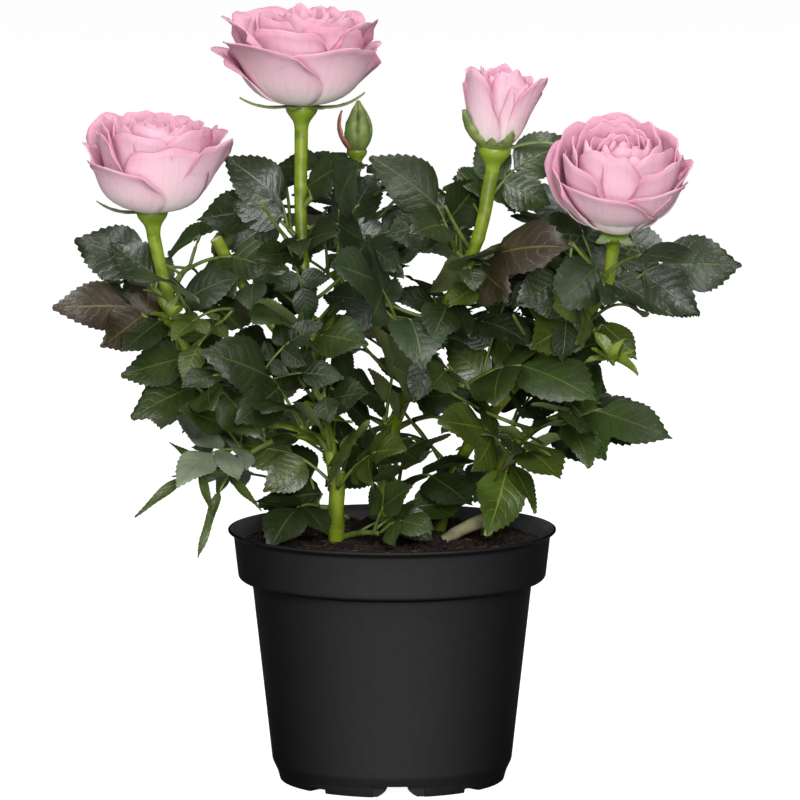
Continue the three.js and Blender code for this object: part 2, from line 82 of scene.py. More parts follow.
# %% [markdown]
# # Node helpers
# Materials are small networks. A few helpers keep them readable: they feed a socket with a value or a link, do
# arithmetic, mix two colours, ease a value between two limits, lay a noise, and open a node group with named sockets. A
# network can be clicked together by hand as well, but written down it can be read, repeated and changed in one place.

# %% Helpers for node networks
def feed(tree, socket, value):
    if isinstance(value, bpy.types.NodeSocket):
        tree.links.new(value, socket)
    else:
        socket.default_value = value


def calc(tree, operation, *values):
    node = tree.nodes.new("ShaderNodeMath")
    node.operation = operation
    for socket, value in zip(node.inputs, values):
        feed(tree, socket, value)
    return node.outputs[0]


def mix(tree, share, first, second):
    node = tree.nodes.new("ShaderNodeMix")
    node.data_type = "RGBA"
    for index, value in ((0, share), (6, first), (7, second)):
        feed(tree, node.inputs[index], value)
    return node.outputs[2]


def ramp(tree, value, low, high):
    node = tree.nodes.new("ShaderNodeMapRange")
    node.interpolation_type = "SMOOTHSTEP"
    feed(tree, node.inputs["Value"], value)
    node.inputs["From Min"].default_value = low
    node.inputs["From Max"].default_value = high
    return node.outputs["Result"]


def speckle(tree, vector, scale, detail=3.0):
    node = tree.nodes.new("ShaderNodeTexNoise")
    feed(tree, node.inputs["Vector"], vector)
    feed(tree, node.inputs["Scale"], scale)
    node.inputs["Detail"].default_value = detail
    return node.outputs["Fac"]


def open_group(name, inputs, outputs):
    tree = bpy.data.node_groups.new(name, "ShaderNodeTree")
    for label, kind, value in inputs:
        socket = tree.interface.new_socket(label, in_out="INPUT", socket_type="NodeSocket" + kind)
        if value is not None:
            socket.default_value = value
    for label, kind in outputs:
        tree.interface.new_socket(label, in_out="OUTPUT", socket_type="NodeSocket" + kind)
    return tree, tree.nodes.new("NodeGroupInput").outputs, tree.nodes.new("NodeGroupOutput").inputs


def rgb(code):
    """A web colour code as the linear colour that a shader wants."""
    parts = [int(code[i : i + 2], 16) / 255 for i in (0, 2, 4)]
    return tuple(c / 12.92 if c <= 0.04045 else ((c + 0.055) / 1.055) ** 2.4 for c in parts) + (1.0,)


print("the deepest leaf green in linear light:", [round(c, 3) for c in rgb("1b260c")])

# %% [markdown]
# # Mottle
# Nothing that grows, and hardly anything moulded, is one flat colour. This group lays a coarse and a fine noise over
# each other, tints the surface between two colours and gives a height for the bump. A painted picture could do this
# too, but a noise has no seams and needs no map, and one group serves every surface.

# %% The mottle group
mottle, given, made = open_group(
    "mottle",
    [("Vector", "Vector", None), ("First", "Color", (0, 0, 0, 1)), ("Second", "Color", (1, 1, 1, 1)),
     ("Scale", "Float", 100.0), ("Fineness", "Float", 5.0), ("Roughness low", "Float", 0.4),
     ("Roughness high", "Float", 0.6)],
    [("Color", "Color"), ("Height", "Float"), ("Roughness", "Float")],
)
coarse = speckle(mottle, given["Vector"], given["Scale"])
fine = speckle(mottle, given["Vector"], calc(mottle, "MULTIPLY", given["Scale"], given["Fineness"]))
tint = ramp(mottle, coarse, 0.35, 0.65)
feed(mottle, made["Color"], mix(mottle, tint, given["First"], given["Second"]))
height = calc(mottle, "ADD", calc(mottle, "MULTIPLY", coarse, 0.5), calc(mottle, "MULTIPLY", fine, 0.5))
feed(mottle, made["Height"], height)
spread = calc(mottle, "SUBTRACT", given["Roughness high"], given["Roughness low"])
feed(mottle, made["Roughness"], calc(mottle, "MULTIPLY_ADD", fine, spread, given["Roughness low"]))
print("mottle group nodes:", len(mottle.nodes))

# %% [markdown]
# # Veins
# A rose leaflet has one straight midrib and seven or eight pairs of side veins that run forwards to the teeth. The
# blade is quilted: it bulges between its veins. Each leaflet carries its own map, with 0 to 1 across and 0 to 1 from
# its stalk to its tip, so one group draws the veins of every leaf. Veins could also be modelled, but on hundreds of
# leaflets they would take far too many faces.

# %% The veins group
def from_middle(tree, across):
    """How far a spot of a map lies from the map's middle line: 0 there and 1 at the edge."""
    return calc(tree, "ABSOLUTE", calc(tree, "MULTIPLY_ADD", across, 2.0, -1.0))


veins, given, made = open_group(
    "veins",
    [("Map", "Vector", None), ("Blade", "Color", (0, 0, 0, 1)), ("Vein", "Color", (1, 1, 1, 1)),
     ("Pairs", "Float", 7.0), ("Strength", "Float", 0.6)],
    [("Color", "Color"), ("Height", "Float")],
)
split = veins.nodes.new("ShaderNodeSeparateXYZ")
feed(veins, split.inputs[0], given["Map"])
across = from_middle(veins, split.outputs["X"])
wobble = calc(veins, "MULTIPLY_ADD", speckle(veins, given["Map"], 5.0), 0.12, -0.06)
forward = calc(veins, "ADD", calc(veins, "MULTIPLY_ADD", across, -0.26, split.outputs["Y"]), wobble)
side = calc(veins, "MULTIPLY", calc(veins, "GREATER_THAN", split.outputs["X"], 0.5), 0.5)
between = calc(veins, "PINGPONG", calc(veins, "MULTIPLY_ADD", forward, given["Pairs"], side), 0.5)
midrib = calc(veins, "SUBTRACT", 1.0, ramp(veins, across, 0.01, 0.06))
side_vein = calc(veins, "SUBTRACT", 1.0, ramp(veins, between, 0.0, 0.07))
side_vein = calc(veins, "MULTIPLY", side_vein, calc(veins, "SUBTRACT", 0.8, calc(veins, "POWER", across, 4.0)))
vein = calc(veins, "MAXIMUM", midrib, calc(veins, "MULTIPLY", side_vein, 0.6))
drawn = calc(veins, "MULTIPLY", vein, given["Strength"])
feed(veins, made["Color"], mix(veins, drawn, given["Blade"], given["Vein"]))
quilt = calc(veins, "MULTIPLY", speckle(veins, given["Map"], 16.0), 0.7)
bulge = calc(veins, "MULTIPLY_ADD", between, 0.5, quilt)
feed(veins, made["Height"], calc(veins, "SUBTRACT", bulge, calc(veins, "MULTIPLY", vein, 0.5)))
print("veins group nodes:", len(veins.nodes))

# %% [markdown]
# # Materials
# One helper opens a material with its shader, others place a group in it, and one wires a bump. Values that are the
# same all over a surface, such as the soft glow inside a petal, are set on the shader's own sockets.

# %% Helpers for materials
def open_material(name, **constants):
    material = bpy.data.materials.new(name)
    material.use_nodes = True
    shader = material.node_tree.nodes["Principled BSDF"]
    for label, value in constants.items():
        shader.inputs[label.replace("_", " ").title().replace("Ior", "IOR")].default_value = value
    return material, material.node_tree, shader


def place_group(tree, group, **values):
    node = tree.nodes.new("ShaderNodeGroup")
    node.node_tree = group
    for label, value in values.items():
        feed(tree, node.inputs[label.replace("_", " ")], value)
    return node.outputs


def wire_bump(tree, shader, height, strength, distance):
    bump = tree.nodes.new("ShaderNodeBump")
    bump.inputs["Strength"].default_value = strength
    bump.inputs["Distance"].default_value = distance
    feed(tree, bump.inputs["Height"], height)
    feed(tree, shader.inputs["Normal"], bump.outputs["Normal"])


def object_spot(tree):
    return tree.nodes.new("ShaderNodeTexCoord").outputs["Object"]


def own_map(tree):
    node = tree.nodes.new("ShaderNodeUVMap")
    node.uv_map = "blade"
    return node.outputs["UV"]


def grained(tree, shader, first, second, scale, fineness, rough):
    """Places the mottle by the surface's own place in space, and lets it drive the shader's roughness."""
    grain = place_group(
        tree, mottle, Vector=object_spot(tree), First=first, Second=second, Scale=scale, Fineness=fineness,
        Roughness_low=rough[0], Roughness_high=rough[1],
    )
    feed(tree, shader.inputs["Roughness"], grain["Roughness"])
    return grain


def mottled(name, first, second, scale, rough, bump, distance=0.0004, fineness=5.0, **constants):
    """A surface that wanders between two colours, with a bump of the same grain."""
    material, tree, shader = open_material(name, **constants)
    grain = grained(tree, shader, rgb(first), rgb(second), scale, fineness, rough)
    feed(tree, shader.inputs["Base Color"], grain["Color"])
    wire_bump(tree, shader, grain["Height"], bump, distance)
    return material


def pot_material():
    """Black plastic whose base colour holds a broad painted highlight down its middle and painted shade where the
    surface turns away from the viewer.
    """
    material, tree, shader = open_material("pot_plastic", Specular_IOR_Level=0.02)
    grain = grained(tree, shader, rgb("2f2f30"), rgb("313132"), 400.0, 6.0, (0.5, 0.6))
    # Painted highlight and painted shade: the base colour is the plastic's grey where the pot faces the viewer and
    # nearly black (020202) towards its outline.
    painted_highlight = calc(tree, "POWER", 0.06, tree.nodes.new("ShaderNodeLayerWeight").outputs["Facing"])
    feed(tree, shader.inputs["Base Color"], mix(tree, painted_highlight, rgb("020202"), grain["Color"]))
    wire_bump(tree, shader, grain["Height"], 0.15, 0.0001)
    return material


SAPPY = dict(Subsurface_Weight=0.1, Subsurface_Scale=0.002)
pot_plastic = pot_material()
# The inner wall is the same black plastic, painted a lighter grey for the light that reaches it: painted light.
pot_inside_painted_light = mottled("pot_inside_painted_light", "4c4c4d", "525253", 400, (0.5, 0.6), 0.15, 0.0001)
peat = mottled("peat", "100806", "22130e", 260, (0.85, 1.0), 0.9, 0.001)
peat_crumb = mottled("peat_crumb", "110906", "2a1811", 120, (0.85, 1.0), 0.6, 0.0005)
peat_fibre = mottled("peat_fibre", "5b3a2b", "7b5a45", 200, (0.8, 0.95), 0.3)
cane_green = mottled("cane_green", "5f6f0e", "7d8f1f", 170, (0.38, 0.5), 0.4, 0.0003, 6, **SAPPY)
stalk_green = mottled("stalk_green", "485a1d", "6b7a35", 120, (0.45, 0.6), 0.2)
hip_green = mottled("hip_green", "667f1a", "7e9628", 120, (0.35, 0.45), 0.15, **SAPPY)
old_wood = mottled("old_wood", "6c664c", "8f8a68", 160, (0.75, 0.9), 0.6)
cut_wood = mottled("cut_wood", "b9b98a", "cfcfa6", 500, (0.7, 0.85), 0.4)
sepal_outside = mottled("sepal_outside", "566b31", "7f8b4a", 150, (0.5, 0.65), 0.3)
sepal_inside = mottled("sepal_inside", "7f9468", "9aa886", 180, (0.6, 0.8), 0.3)
sepal_blush = mottled("sepal_blush", "8c4a44", "a8705c", 150, (0.5, 0.65), 0.3)
print("mottled materials:", len(bpy.data.materials))

# %% [markdown]
# # Leaf materials
# A rose leaf is dark and glossy above and pale and matt below, and the photograph shows some leaves bronze with youth
# and some fresh green. Each kind is a plain base colour with its own veins, dealt out by spray when the sprays grow. A
# colour that changes at random from leaf to leaf would be simpler, but on a plant the leaves of one spray are alike.

# %% Leaf materials
def leaf_material(name, blade, vein, strength, rough, bump):
    material, tree, shader = open_material(name)
    tone = rgb(blade)
    lighter = tuple(min(1.0, 1.45 * c + 0.004) for c in tone[:3]) + (1.0,)
    grain = grained(tree, shader, tone, lighter, 70.0, 9.0, rough)
    drawn = place_group(tree, veins, Map=own_map(tree), Blade=grain["Color"], Vein=rgb(vein), Strength=strength)
    feed(tree, shader.inputs["Base Color"], drawn["Color"])
    cobbled = calc(tree, "MULTIPLY_ADD", grain["Height"], 0.6, drawn["Height"])
    wire_bump(tree, shader, cobbled, bump, 0.0004)
    return material


# The upper side, the veins and the underside of each kind of leaf
LEAF_TONES = {
    "deep": ("1b260c", "546530", "566036"),
    "mid": ("263511", "5f7230", "616e40"),
    # grey_green_and_sheen: a greyer green, partly a leaf tone and partly a painted bluish grey sheen on the glossiest
    # leaves.
    "grey_green_and_sheen": ("222f1a", "596c3a", "677452"),
    "olive": ("354212", "7c872e", "6a763a"),
    "bronze": ("2c2518", "776a34", "50483a"),
    "fresh": ("35460d", "8b9c3a", "6a7f30"),
    "pale": ("66705c", "57614a", "6f7c64"),
    "young": ("4c5f0c", "9aa748", "78862f"),
}
leaf_faces = []
for tone, (upper, vein_tone, under) in LEAF_TONES.items():
    leaf_faces.append(leaf_material(tone + "_leaf", upper, vein_tone, 0.5, (0.3, 0.42), 0.5))
    leaf_faces.append(leaf_material(tone + "_underside", under, vein_tone, 0.4, (0.55, 0.7), 0.3))
print("leaf materials:", len(leaf_faces))

# %% [markdown]
# # Petal materials
# The petals are a soft pink: cream at the base of their backs, a little deeper on the face, and deepest where the lip
# rolls over. The face's deeper pink is partly the petal's own colour and partly painted shade for the inside of the
# cup.
# A little light goes through the petals, which the shader's subsurface value gives. Each petal carries its own map,
# which runs from base to lip and from side to side. So the colours follow the petal however it is bent.

# %% Petal materials
def petal_material(name, base, body, lip):
    """Patchy from base to lip, with fine streaks along the petal and a deeper margin."""
    material, tree, shader = open_material(
        name, Subsurface_Weight=0.1, Subsurface_Scale=0.002, Subsurface_Radius=(1.0, 0.8, 0.8), Specular_IOR_Level=0.2,
    )
    own = own_map(tree)
    split = tree.nodes.new("ShaderNodeSeparateXYZ")
    feed(tree, split.inputs[0], own)
    patchy = calc(tree, "MULTIPLY_ADD", speckle(tree, object_spot(tree), 70.0), 0.3, -0.15)
    along = calc(tree, "ADD", split.outputs["Y"], patchy)
    stretch = tree.nodes.new("ShaderNodeMapping")
    stretch.inputs["Scale"].default_value = (34, 3, 1)
    feed(tree, stretch.inputs["Vector"], own)
    streaks = speckle(tree, stretch.outputs["Vector"], 1.0, 4.0)
    margin = calc(tree, "POWER", from_middle(tree, split.outputs["X"]), 3.0)
    margin = calc(tree, "MULTIPLY_ADD", margin, 0.22, along)
    colour = mix(tree, ramp(tree, along, 0.2, 0.75), rgb(base), rgb(body))
    colour = mix(tree, ramp(tree, margin, 0.76, 1.2), colour, rgb(lip))
    colour = mix(tree, calc(tree, "MULTIPLY", ramp(tree, streaks, 0.45, 0.75), 0.2), colour, rgb(lip))
    grain = grained(tree, shader, colour, colour, 160.0, 5.0, (0.5, 0.7))
    feed(tree, shader.inputs["Base Color"], grain["Color"])
    wire_bump(tree, shader, calc(tree, "ADD", streaks, grain["Height"]), 0.2, 0.0005)
    return material


petal_back = petal_material("petal_back", "eee2dc", "e1bac7", "c6839c")
# The face's deeper pink is partly its own colour and partly painted shade for the inside of the cup.
petal_face_tint_and_shade = petal_material("petal_face_tint_and_shade", "d8afbb", "d6a5b6", "c88ba3")
print("petal materials:", petal_back.name, petal_face_tint_and_shade.name)

# %% [markdown]
# # Floor and light
# The photograph is a cut-out on white with soft light from the front and above. A pale paper floor and five large soft
# lamps give the same even light. The paper also glows, but for the camera alone: the ground is as white as in the
# photograph, and no light from it reaches the plant.

# %% The paper floor
floor_bm = bmesh.new()
bmesh.ops.create_grid(floor_bm, x_segments=1, y_segments=1, size=9)
floor_mesh = bpy.data.meshes.new("studio_floor")
floor_bm.to_mesh(floor_mesh)
floor_bm.free()
floor = put("studio_floor", floor_mesh)
paper = mottled("studio_paper", "969695", "9a9a99", 0.8, (0.8, 0.9), 0.0)
paper_tree = paper.node_tree
to_camera = paper_tree.nodes.new("ShaderNodeLightPath").outputs["Is Camera Ray"]
paper_shader = paper_tree.nodes["Principled BSDF"]
paper_shader.inputs["Emission Color"].default_value = (1, 1, 1, 1)
feed(paper_tree, paper_shader.inputs["Emission Strength"], calc(paper_tree, "MULTIPLY", to_camera, 0.96))
floor_mesh.materials.append(paper)
print("floor materials:", [material.name for material in floor_mesh.materials])

# %% The lamps
LIT_SPOT = (0, 0, 0.14)
# Place, width of the disk and watts
LAMPS = {
    "front_softbox": ((0.2, -1.7, 0.75), 0.6, 24),
    "low_softbox": ((-0.3, -1.7, 0.1), 0.5, 11),
    "left_softbox": ((-1.2, -0.7, 1.3), 0.7, 10),
    "right_softbox": ((1.2, -0.5, 1.3), 0.7, 9),
    "top_softbox": ((0.0, 0.1, 1.7), 1.0, 18),
}
for name, (place, size, watts) in LAMPS.items():
    light = bpy.data.lights.new(name, "AREA")
    light.shape, light.size, light.energy = "DISK", size, watts
    lamp = put(name, light)
    lamp.location = place
    look_at(lamp, LIT_SPOT)
world = bpy.data.worlds.new("studio")
world.use_nodes = True
sky = world.node_tree.nodes["Background"]
sky.inputs["Color"].default_value = (1, 1, 1, 1)
sky.inputs["Strength"].default_value = 0.03
bpy.context.scene.world = world
bpy.context.scene.view_settings.view_transform = "Standard"
print("lamps:", len(bpy.data.lights))

# %% [markdown]
# # From bmesh to a piece
# Every piece is made in millimetres in a bmesh, then scaled, shaded and given its materials here. It rides on the one
# body and hides the CAD nodes that it stands for.

# %% Finish a piece
def finish_piece(name, bm, materials, slot, replaced, sharp=None):
    """Turns a bmesh into a piece. Edges sharper than the given angle in degrees stay crisp."""
    bmesh.ops.scale(bm, vec=(MM, MM, MM), verts=bm.verts)
    mesh = bpy.data.meshes.new(name)
    bm.to_mesh(mesh)
    bm.free()
    for material in materials:
        mesh.materials.append(material)
    mesh.shade_smooth()
    if sharp:
        mesh.set_sharp_from_angle(angle=math.radians(sharp))
    piece = put(name, mesh)
    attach(piece, "root")
    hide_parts(*replaced)
    print(name, "faces:", len(mesh.polygons))
    return piece


# %% [markdown]
# # The pot
# A nursery pot is blown or moulded from thin black plastic: a tapered wall, a wider collar that lets pots stack, a thin
# rolled lip, and a foot with notches that let water out. It is turned, so its profile is drawn once, its corners are
# rounded while it is still a line of edges, and a spin makes the wall. The notches are then cut by a Boolean. The
# finished wall could be rounded as well, but a line of edges is rounded evenly and at once.

# %% Turn the pot
RIM, POT_TOP, FOOT, WALL, BASE = 60.0, 92.5, 41.0, 1.3, 5.6
COLLAR, COLLAR_Z, WAIST, SHOULDER, KNEE, KNEE_Z = 56.3, 76.5, 51.1, 73.2, 43.8, 7.4
# Radius, height and rounding of each corner, up the outside and down the inside
POT_PROFILE = [
    (0, 0, 0), (FOOT, 0, 0.3), (FOOT + 0.9, 3.4, 0.4), (KNEE, KNEE_Z, 0.8), (WAIST, SHOULDER, 0.3),
    (COLLAR - 1.4, SHOULDER + 0.8, 0.4), (COLLAR - 0.2, SHOULDER + 1.7, 0.7), (COLLAR, COLLAR_Z + 0.2, 0),
    (RIM - 2.2, POT_TOP - 2.4, 0.8), (RIM - 0.2, POT_TOP - 1.0, 0.3), (RIM - 0.1, POT_TOP - 0.1, 0.4),
    (RIM - 1.5, POT_TOP - 0.1, 0.5), (RIM - 2.1 - WALL, POT_TOP - 2.4, 0.8), (COLLAR - WALL, COLLAR_Z, 1.0),
    (WAIST - WALL, SHOULDER, 0.8), (KNEE - WALL, KNEE_Z + 1.5, 0.8), (FOOT - 1.6, BASE, 0.5), (0, BASE, 0),
]


def turned(profile, steps):
    """Rounds the corners of a profile in the XZ plane and spins it about Z."""
    bm = bmesh.new()
    corners = [bm.verts.new((r, 0, z)) for r, z, _ in profile]
    for first, second in zip(corners, corners[1:]):
        bm.edges.new((first, second))
    for vert, (_, _, rounding) in zip(corners, profile):
        if rounding:
            bmesh.ops.bevel(bm, geom=[vert], offset=rounding, segments=3, profile=0.5, affect="VERTICES", material=-1)
    bmesh.ops.spin(
        bm, geom=bm.verts[:] + bm.edges[:], cent=(0, 0, 0), axis=(0, 0, 1), angle=2 * math.pi, steps=steps,
        use_merge=True,
    )
    bmesh.ops.remove_doubles(bm, verts=bm.verts, dist=0.01)
    bmesh.ops.recalc_face_normals(bm, faces=bm.faces)
    return bm


pot_bm = turned(POT_PROFILE, 128)
for face in pot_bm.faces:
    middle = face.calc_center_median()
    # A face that looks towards the pot's axis belongs to the inside
    face.material_index = int(face.normal.x * middle.x + face.normal.y * middle.y < 0)
pot = finish_piece("pot_shell", pot_bm, [pot_plastic, pot_inside_painted_light], "pot", ["pot"])

# %% Shape the knives for the notches
CHANNEL_WIDE, CHANNEL_LONG, CHANNEL_TALL, CHANNEL_ASIDE = 7.0, 110, 8.4, 1.9


def cut_across(bm, cuts):
    """Cuts the upright edges of a shape, so that it can be flared or bent."""
    upright = [e for e in bm.edges if abs(e.verts[0].co.z - e.verts[1].co.z) > 0.5]
    bmesh.ops.subdivide_edges(bm, edges=upright, cuts=cuts)


def notch_knife(heading, inner, long, wide, tall):
    """A box that cuts the foot from radius inner outwards, turned to its heading."""
    knife = bmesh.ops.create_cube(knives, size=1)["verts"]
    bmesh.ops.scale(knives, vec=(long, wide, 2 * tall), verts=knife)
    bmesh.ops.translate(knives, vec=(inner + long / 2, 0, 0), verts=knife)
    bmesh.ops.rotate(knives, cent=(0, 0, 0), matrix=Matrix.Rotation(math.radians(heading), 3, "Z"), verts=knife)


knives = bmesh.new()
# One channel with flared sides runs under the whole pot, from the front notch to the back one
bmesh.ops.create_cube(knives, size=1)
cut_across(knives, 9)
for vert in knives.verts:
    flare = 1 + 1.05 * min(1, 1 - 2 * vert.co.z) ** 2.2
    vert.co = (vert.co.x * CHANNEL_WIDE * flare + CHANNEL_ASIDE, vert.co.y * CHANNEL_LONG, vert.co.z * CHANNEL_TALL)
for heading in (48.7, 135, 228.7, 315):
    notch_knife(heading, inner=FOOT - 6, long=12, wide=7.8, tall=1.6)
for heading in (87, 273.5):
    notch_knife(heading, inner=FOOT - 2.2, long=8, wide=18.8, tall=4.2)
bmesh.ops.scale(knives, vec=(MM, MM, MM), verts=knives.verts)
knife_mesh = bpy.data.meshes.new("notch_knives")
knives.to_mesh(knife_mesh)
knives.free()
cutter = put("notch_knives", knife_mesh)
print("knife faces:", len(knife_mesh.polygons))

# %% Cut the notches in the foot
cut = pot.modifiers.new("notches", "BOOLEAN")
cut.operation, cut.solver, cut.object, cut.use_self = "DIFFERENCE", "EXACT", cutter, True
bpy.context.view_layer.update()
trimmed = bpy.data.meshes.new_from_object(pot.evaluated_get(bpy.context.evaluated_depsgraph_get()))
pot.modifiers.clear()
pot.data = trimmed
bpy.data.objects.remove(cutter)
pot.data.set_sharp_from_angle(angle=math.radians(28))
print("pot faces after its notches:", len(pot.data.polygons))

# %% [markdown]
# # Joined copies
# A plant is hundreds of like shapes. Each shape is made once with bmesh operators as a template, its points are bent
# into place for every copy, and the copies are joined into one mesh, because loose copies would not be exported.
# The template's own flat place becomes the copy's map.

# %% Templates and gatherings
class Template:
    """A small closed shape: its points, its faces, the material of each face, and its map."""

    def __init__(self, bm, kinds, chart):
        bm.verts.index_update()
        self.spots = np.array([v.co[:] for v in bm.verts])
        self.faces = [[v.index for v in face.verts] for face in bm.faces]
        self.kinds = [kinds(face) for face in bm.faces]
        self.chart = np.array([chart(v) for v in bm.verts])
        bm.free()


class Gathering:
    """Copies of templates that become one mesh."""

    def __init__(self):
        self.spots, self.faces, self.kinds, self.charts, self.count = [], [], [], [], 0

    def lay(self, template, spots, kind=0):
        self.faces += [[i + self.count for i in face] for face in template.faces]
        self.kinds += [k + kind for k in template.kinds]
        self.charts.append(template.chart)
        self.spots.append(spots)
        self.count += len(spots)

    def finish(self, name, materials, slot, replaced, sharp=None):
        mesh = bpy.data.meshes.new("gathered")
        mesh.from_pydata(np.vstack(self.spots).tolist(), [], self.faces)
        mesh.polygons.foreach_set("material_index", self.kinds)
        corner = np.zeros(len(mesh.loops), np.int32)
        mesh.loops.foreach_get("vertex_index", corner)
        mesh.uv_layers.new(name="blade").data.foreach_set("uv", np.vstack(self.charts)[corner].ravel())
        bm = bmesh.new()
        bm.from_mesh(mesh)
        bpy.data.meshes.remove(mesh)
        bmesh.ops.recalc_face_normals(bm, faces=bm.faces)
        return finish_piece(name, bm, materials, slot, replaced, sharp)


def seeded(seed):
    """The part's own seeded numbers: the same row of them on every run."""
    state = seed
    while True:
        state = state * 16807 % 2147483647
        yield state / 2147483647


print("a row of seeded numbers starts", [round(number, 3) for number, _ in zip(seeded(20261), range(3))])

# %% [markdown]
# # The peat
# The pot is filled with dark peat to just below its lip. The filling is turned like the pot, its top is roughened with
# a noise, and loose crumbs and brown fibres are strewn over it. The crumbs heap up where the canes go in. A bump alone
# would be enough from afar, but it would leave a smooth edge where the peat meets the wall and the canes.

# %% The filling
LEVEL, FILLING_GAP = 86.6, 0.4
peat_bm = turned(
    [(0, BASE + 0.3, 0), (FOOT - 2, BASE + 0.3, 0), (KNEE - WALL - FILLING_GAP, KNEE_Z, 0),
     (WAIST - WALL - FILLING_GAP, SHOULDER + 0.3, 0), (COLLAR - WALL - FILLING_GAP, COLLAR_Z + 0.3, 0)]
    + [(r, LEVEL, 0) for r in np.linspace(56.0, 0, 44).tolist()],
    112,
)


def peat_height(x, y):
    """The peat's uneven top, as the sum of a coarse, a finer and a fine noise."""
    rough = noise.noise(Vector((x, y, 0)) * 0.12) * 1.1 + noise.noise(Vector((x, y, 3)) * 0.45) * 0.9
    return LEVEL + rough + noise.noise(Vector((x, y, 7)) * 1.3) * 0.35


for vert in peat_bm.verts:
    if abs(vert.co.z - LEVEL) < 0.01:
        vert.co.z = peat_height(vert.co.x, vert.co.y)
finish_piece("peat_fill", peat_bm, [peat], "soil", ["soil"])

# %% Crumbs and fibres
TURN = 6.28  # a random heading is a share of this
CRUMBS, FIBRES, HEAPED = 1500, 240, 34
CANE_FEET = ((-20, 4), (-1, 32), (16, 24), (34, 10), (20, -2))
crumb_bm = bmesh.new()
bmesh.ops.create_icosphere(crumb_bm, subdivisions=1, radius=1)
for vert in crumb_bm.verts:
    vert.co *= 1 + 0.35 * noise.noise(vert.co * 2.3)
crumb = Template(crumb_bm, lambda face: 0, lambda v: (v.co.x, v.co.y))
fibre_bm = bmesh.new()
bmesh.ops.create_cone(fibre_bm, cap_ends=True, segments=4, radius1=1, radius2=0.5, depth=2)
fibre = Template(fibre_bm, lambda face: 1, lambda v: (v.co.x, v.co.z))
draw = seeded(20261)
strewn = Gathering()


def on_circle(radius, heading):
    return radius * math.cos(heading), radius * math.sin(heading)


def strew(template, x, y, scales, lift, turn_all=True):
    """Lays a copy on the peat, turned by chance. A fibre is not turned about its own length."""
    turn = Matrix.Rotation(TURN * next(draw), 3, "Z") @ Matrix.Rotation(1.57 + 0.5 * (next(draw) - 0.5), 3, "X")
    if turn_all:
        turn = turn @ Matrix.Rotation(TURN * next(draw), 3, "Y")
    spots = template.spots * np.array(scales) @ np.array(turn).T
    strewn.lay(template, spots + np.array([x, y, peat_height(x, y) + lift]))


for i in range(CRUMBS):
    size = 0.45 + 1.15 * next(draw) ** 2.5
    radius, heading = (55.2 - size) * math.sqrt(next(draw)), TURN * next(draw)
    scales = [size * (0.7 + 0.6 * next(draw)) for _ in range(3)]
    strew(crumb, *on_circle(radius, heading), scales, 0.25 * size)
for i in range(FIBRES):
    radius, heading = 51 * math.sqrt(next(draw)), TURN * next(draw)
    strew(fibre, *on_circle(radius, heading), (0.14, 0.14, 1 + 1.6 * next(draw)), 0.7, False)
for x, y in CANE_FEET:
    for i in range(HEAPED):
        heading, out = TURN * next(draw), 2.6 + 2.6 * next(draw)
        size = 0.6 + 0.9 * next(draw)
        strew(crumb, x + out * math.cos(heading), y + out * math.sin(heading), (size, size, size), 0.9 - 0.15 * out)
strewn.finish("peat_crumbs", [peat_crumb, peat_fibre], "soil", [], sharp=30)

# %% [markdown]
# # Limbs
# The canes are green and smooth, a little swollen at each node, and thicken again below a flower. A cylinder with many
# steps is bent along each limb's curve. The curve and the radii are those of the part, so each limb stays on its solid.
# A curve with a round bevel would give such a tube at once, but its points could not be pushed out for nodes and buds.

# %% The limbs' curves
def at(*numbers):
    return Vector(numbers)


GROUND = 87.3
ROOT = GROUND - 3
# Each limb's points from its foot to its tip, and its radius at foot, middle and neck
LIMBS = {
    "cane_front": ([(-20, 4, ROOT), (-21, 0, 112), (-29, 3, 156), (-33, 8, 200), (-33, 10, 236)], (3.3, 2.2, 2.5)),
    "cane_middle": ([(-1, 32, ROOT), (-2, 27, 117), (12, 5, 156), (30, -11, 197), (36, -12, 223)], (3.2, 2.3, 2.6)),
    "cane_inner": ([(16, 24, ROOT), (26, 20, 116), (50, 6, 150), (75, -11, 178), (80, -16, 197)], (2.8, 2.0, 2.4)),
    "cane_right": ([(34, 10, ROOT), (39, 4, 112), (50, -4, 128), (64, -8, 136)], (2.6, 1.7, 1.3)),
    "bough_left": (
        [(-24.6, 1, 124), (-49, -4, 134), (-71, -8, 153), (-81, -12, 180), (-86, -14, 201)], (2.3, 1.9, 2.5),
    ),
    "bough_bud": ([(-27.6, 2, 146), (-22, 14, 170), (-15, 24, 196), (-13, 26, 222)], (1.8, 1.5, 1.6)),
}


def limb_spot(name, t):
    """A smooth curve through the limb's points. t runs from its foot to its tip."""
    points = [Vector(p) for p in LIMBS[name][0]]
    place = (len(points) - 1) * t
    i = min(int(place), len(points) - 2)
    w = place - i
    one, two = points[i], points[i + 1]
    before = points[i - 1] if i else 2 * one - two
    after = points[i + 2] if i + 2 < len(points) else 2 * two - one
    leave, arrive = (two - before) / 2, (after - one) / 2
    swing = (2 * one - 2 * two + leave + arrive) * w**3 + (3 * two - 3 * one - 2 * leave - arrive) * w**2
    return swing + leave * w + one


def limb_length(name):
    return sum((limb_spot(name, (i + 1) / 40) - limb_spot(name, i / 40)).length for i in range(40))


def limb_radius(name, t):
    foot, waist, neck = LIMBS[name][1]
    return foot + (waist - foot) * math.sqrt(2 * t) if t < 0.5 else waist + (neck - waist) * (2 * t - 1) ** 2


def arc_spot(arc, t):
    """A curve with one bow, which every stem and stalk follows."""
    start, bow, end = arc
    return start * (1 - t) ** 2 + bow * 2 * t * (1 - t) + end * t * t


def tube_template(sides, steps):
    bm = bmesh.new()
    bmesh.ops.create_cone(bm, cap_ends=True, segments=sides, radius1=1, radius2=1, depth=1)
    cut_across(bm, steps - 1)
    return Template(bm, lambda face: 0, lambda v: (math.atan2(v.co.y, v.co.x) / TURN + 0.5, v.co.z + 0.5))


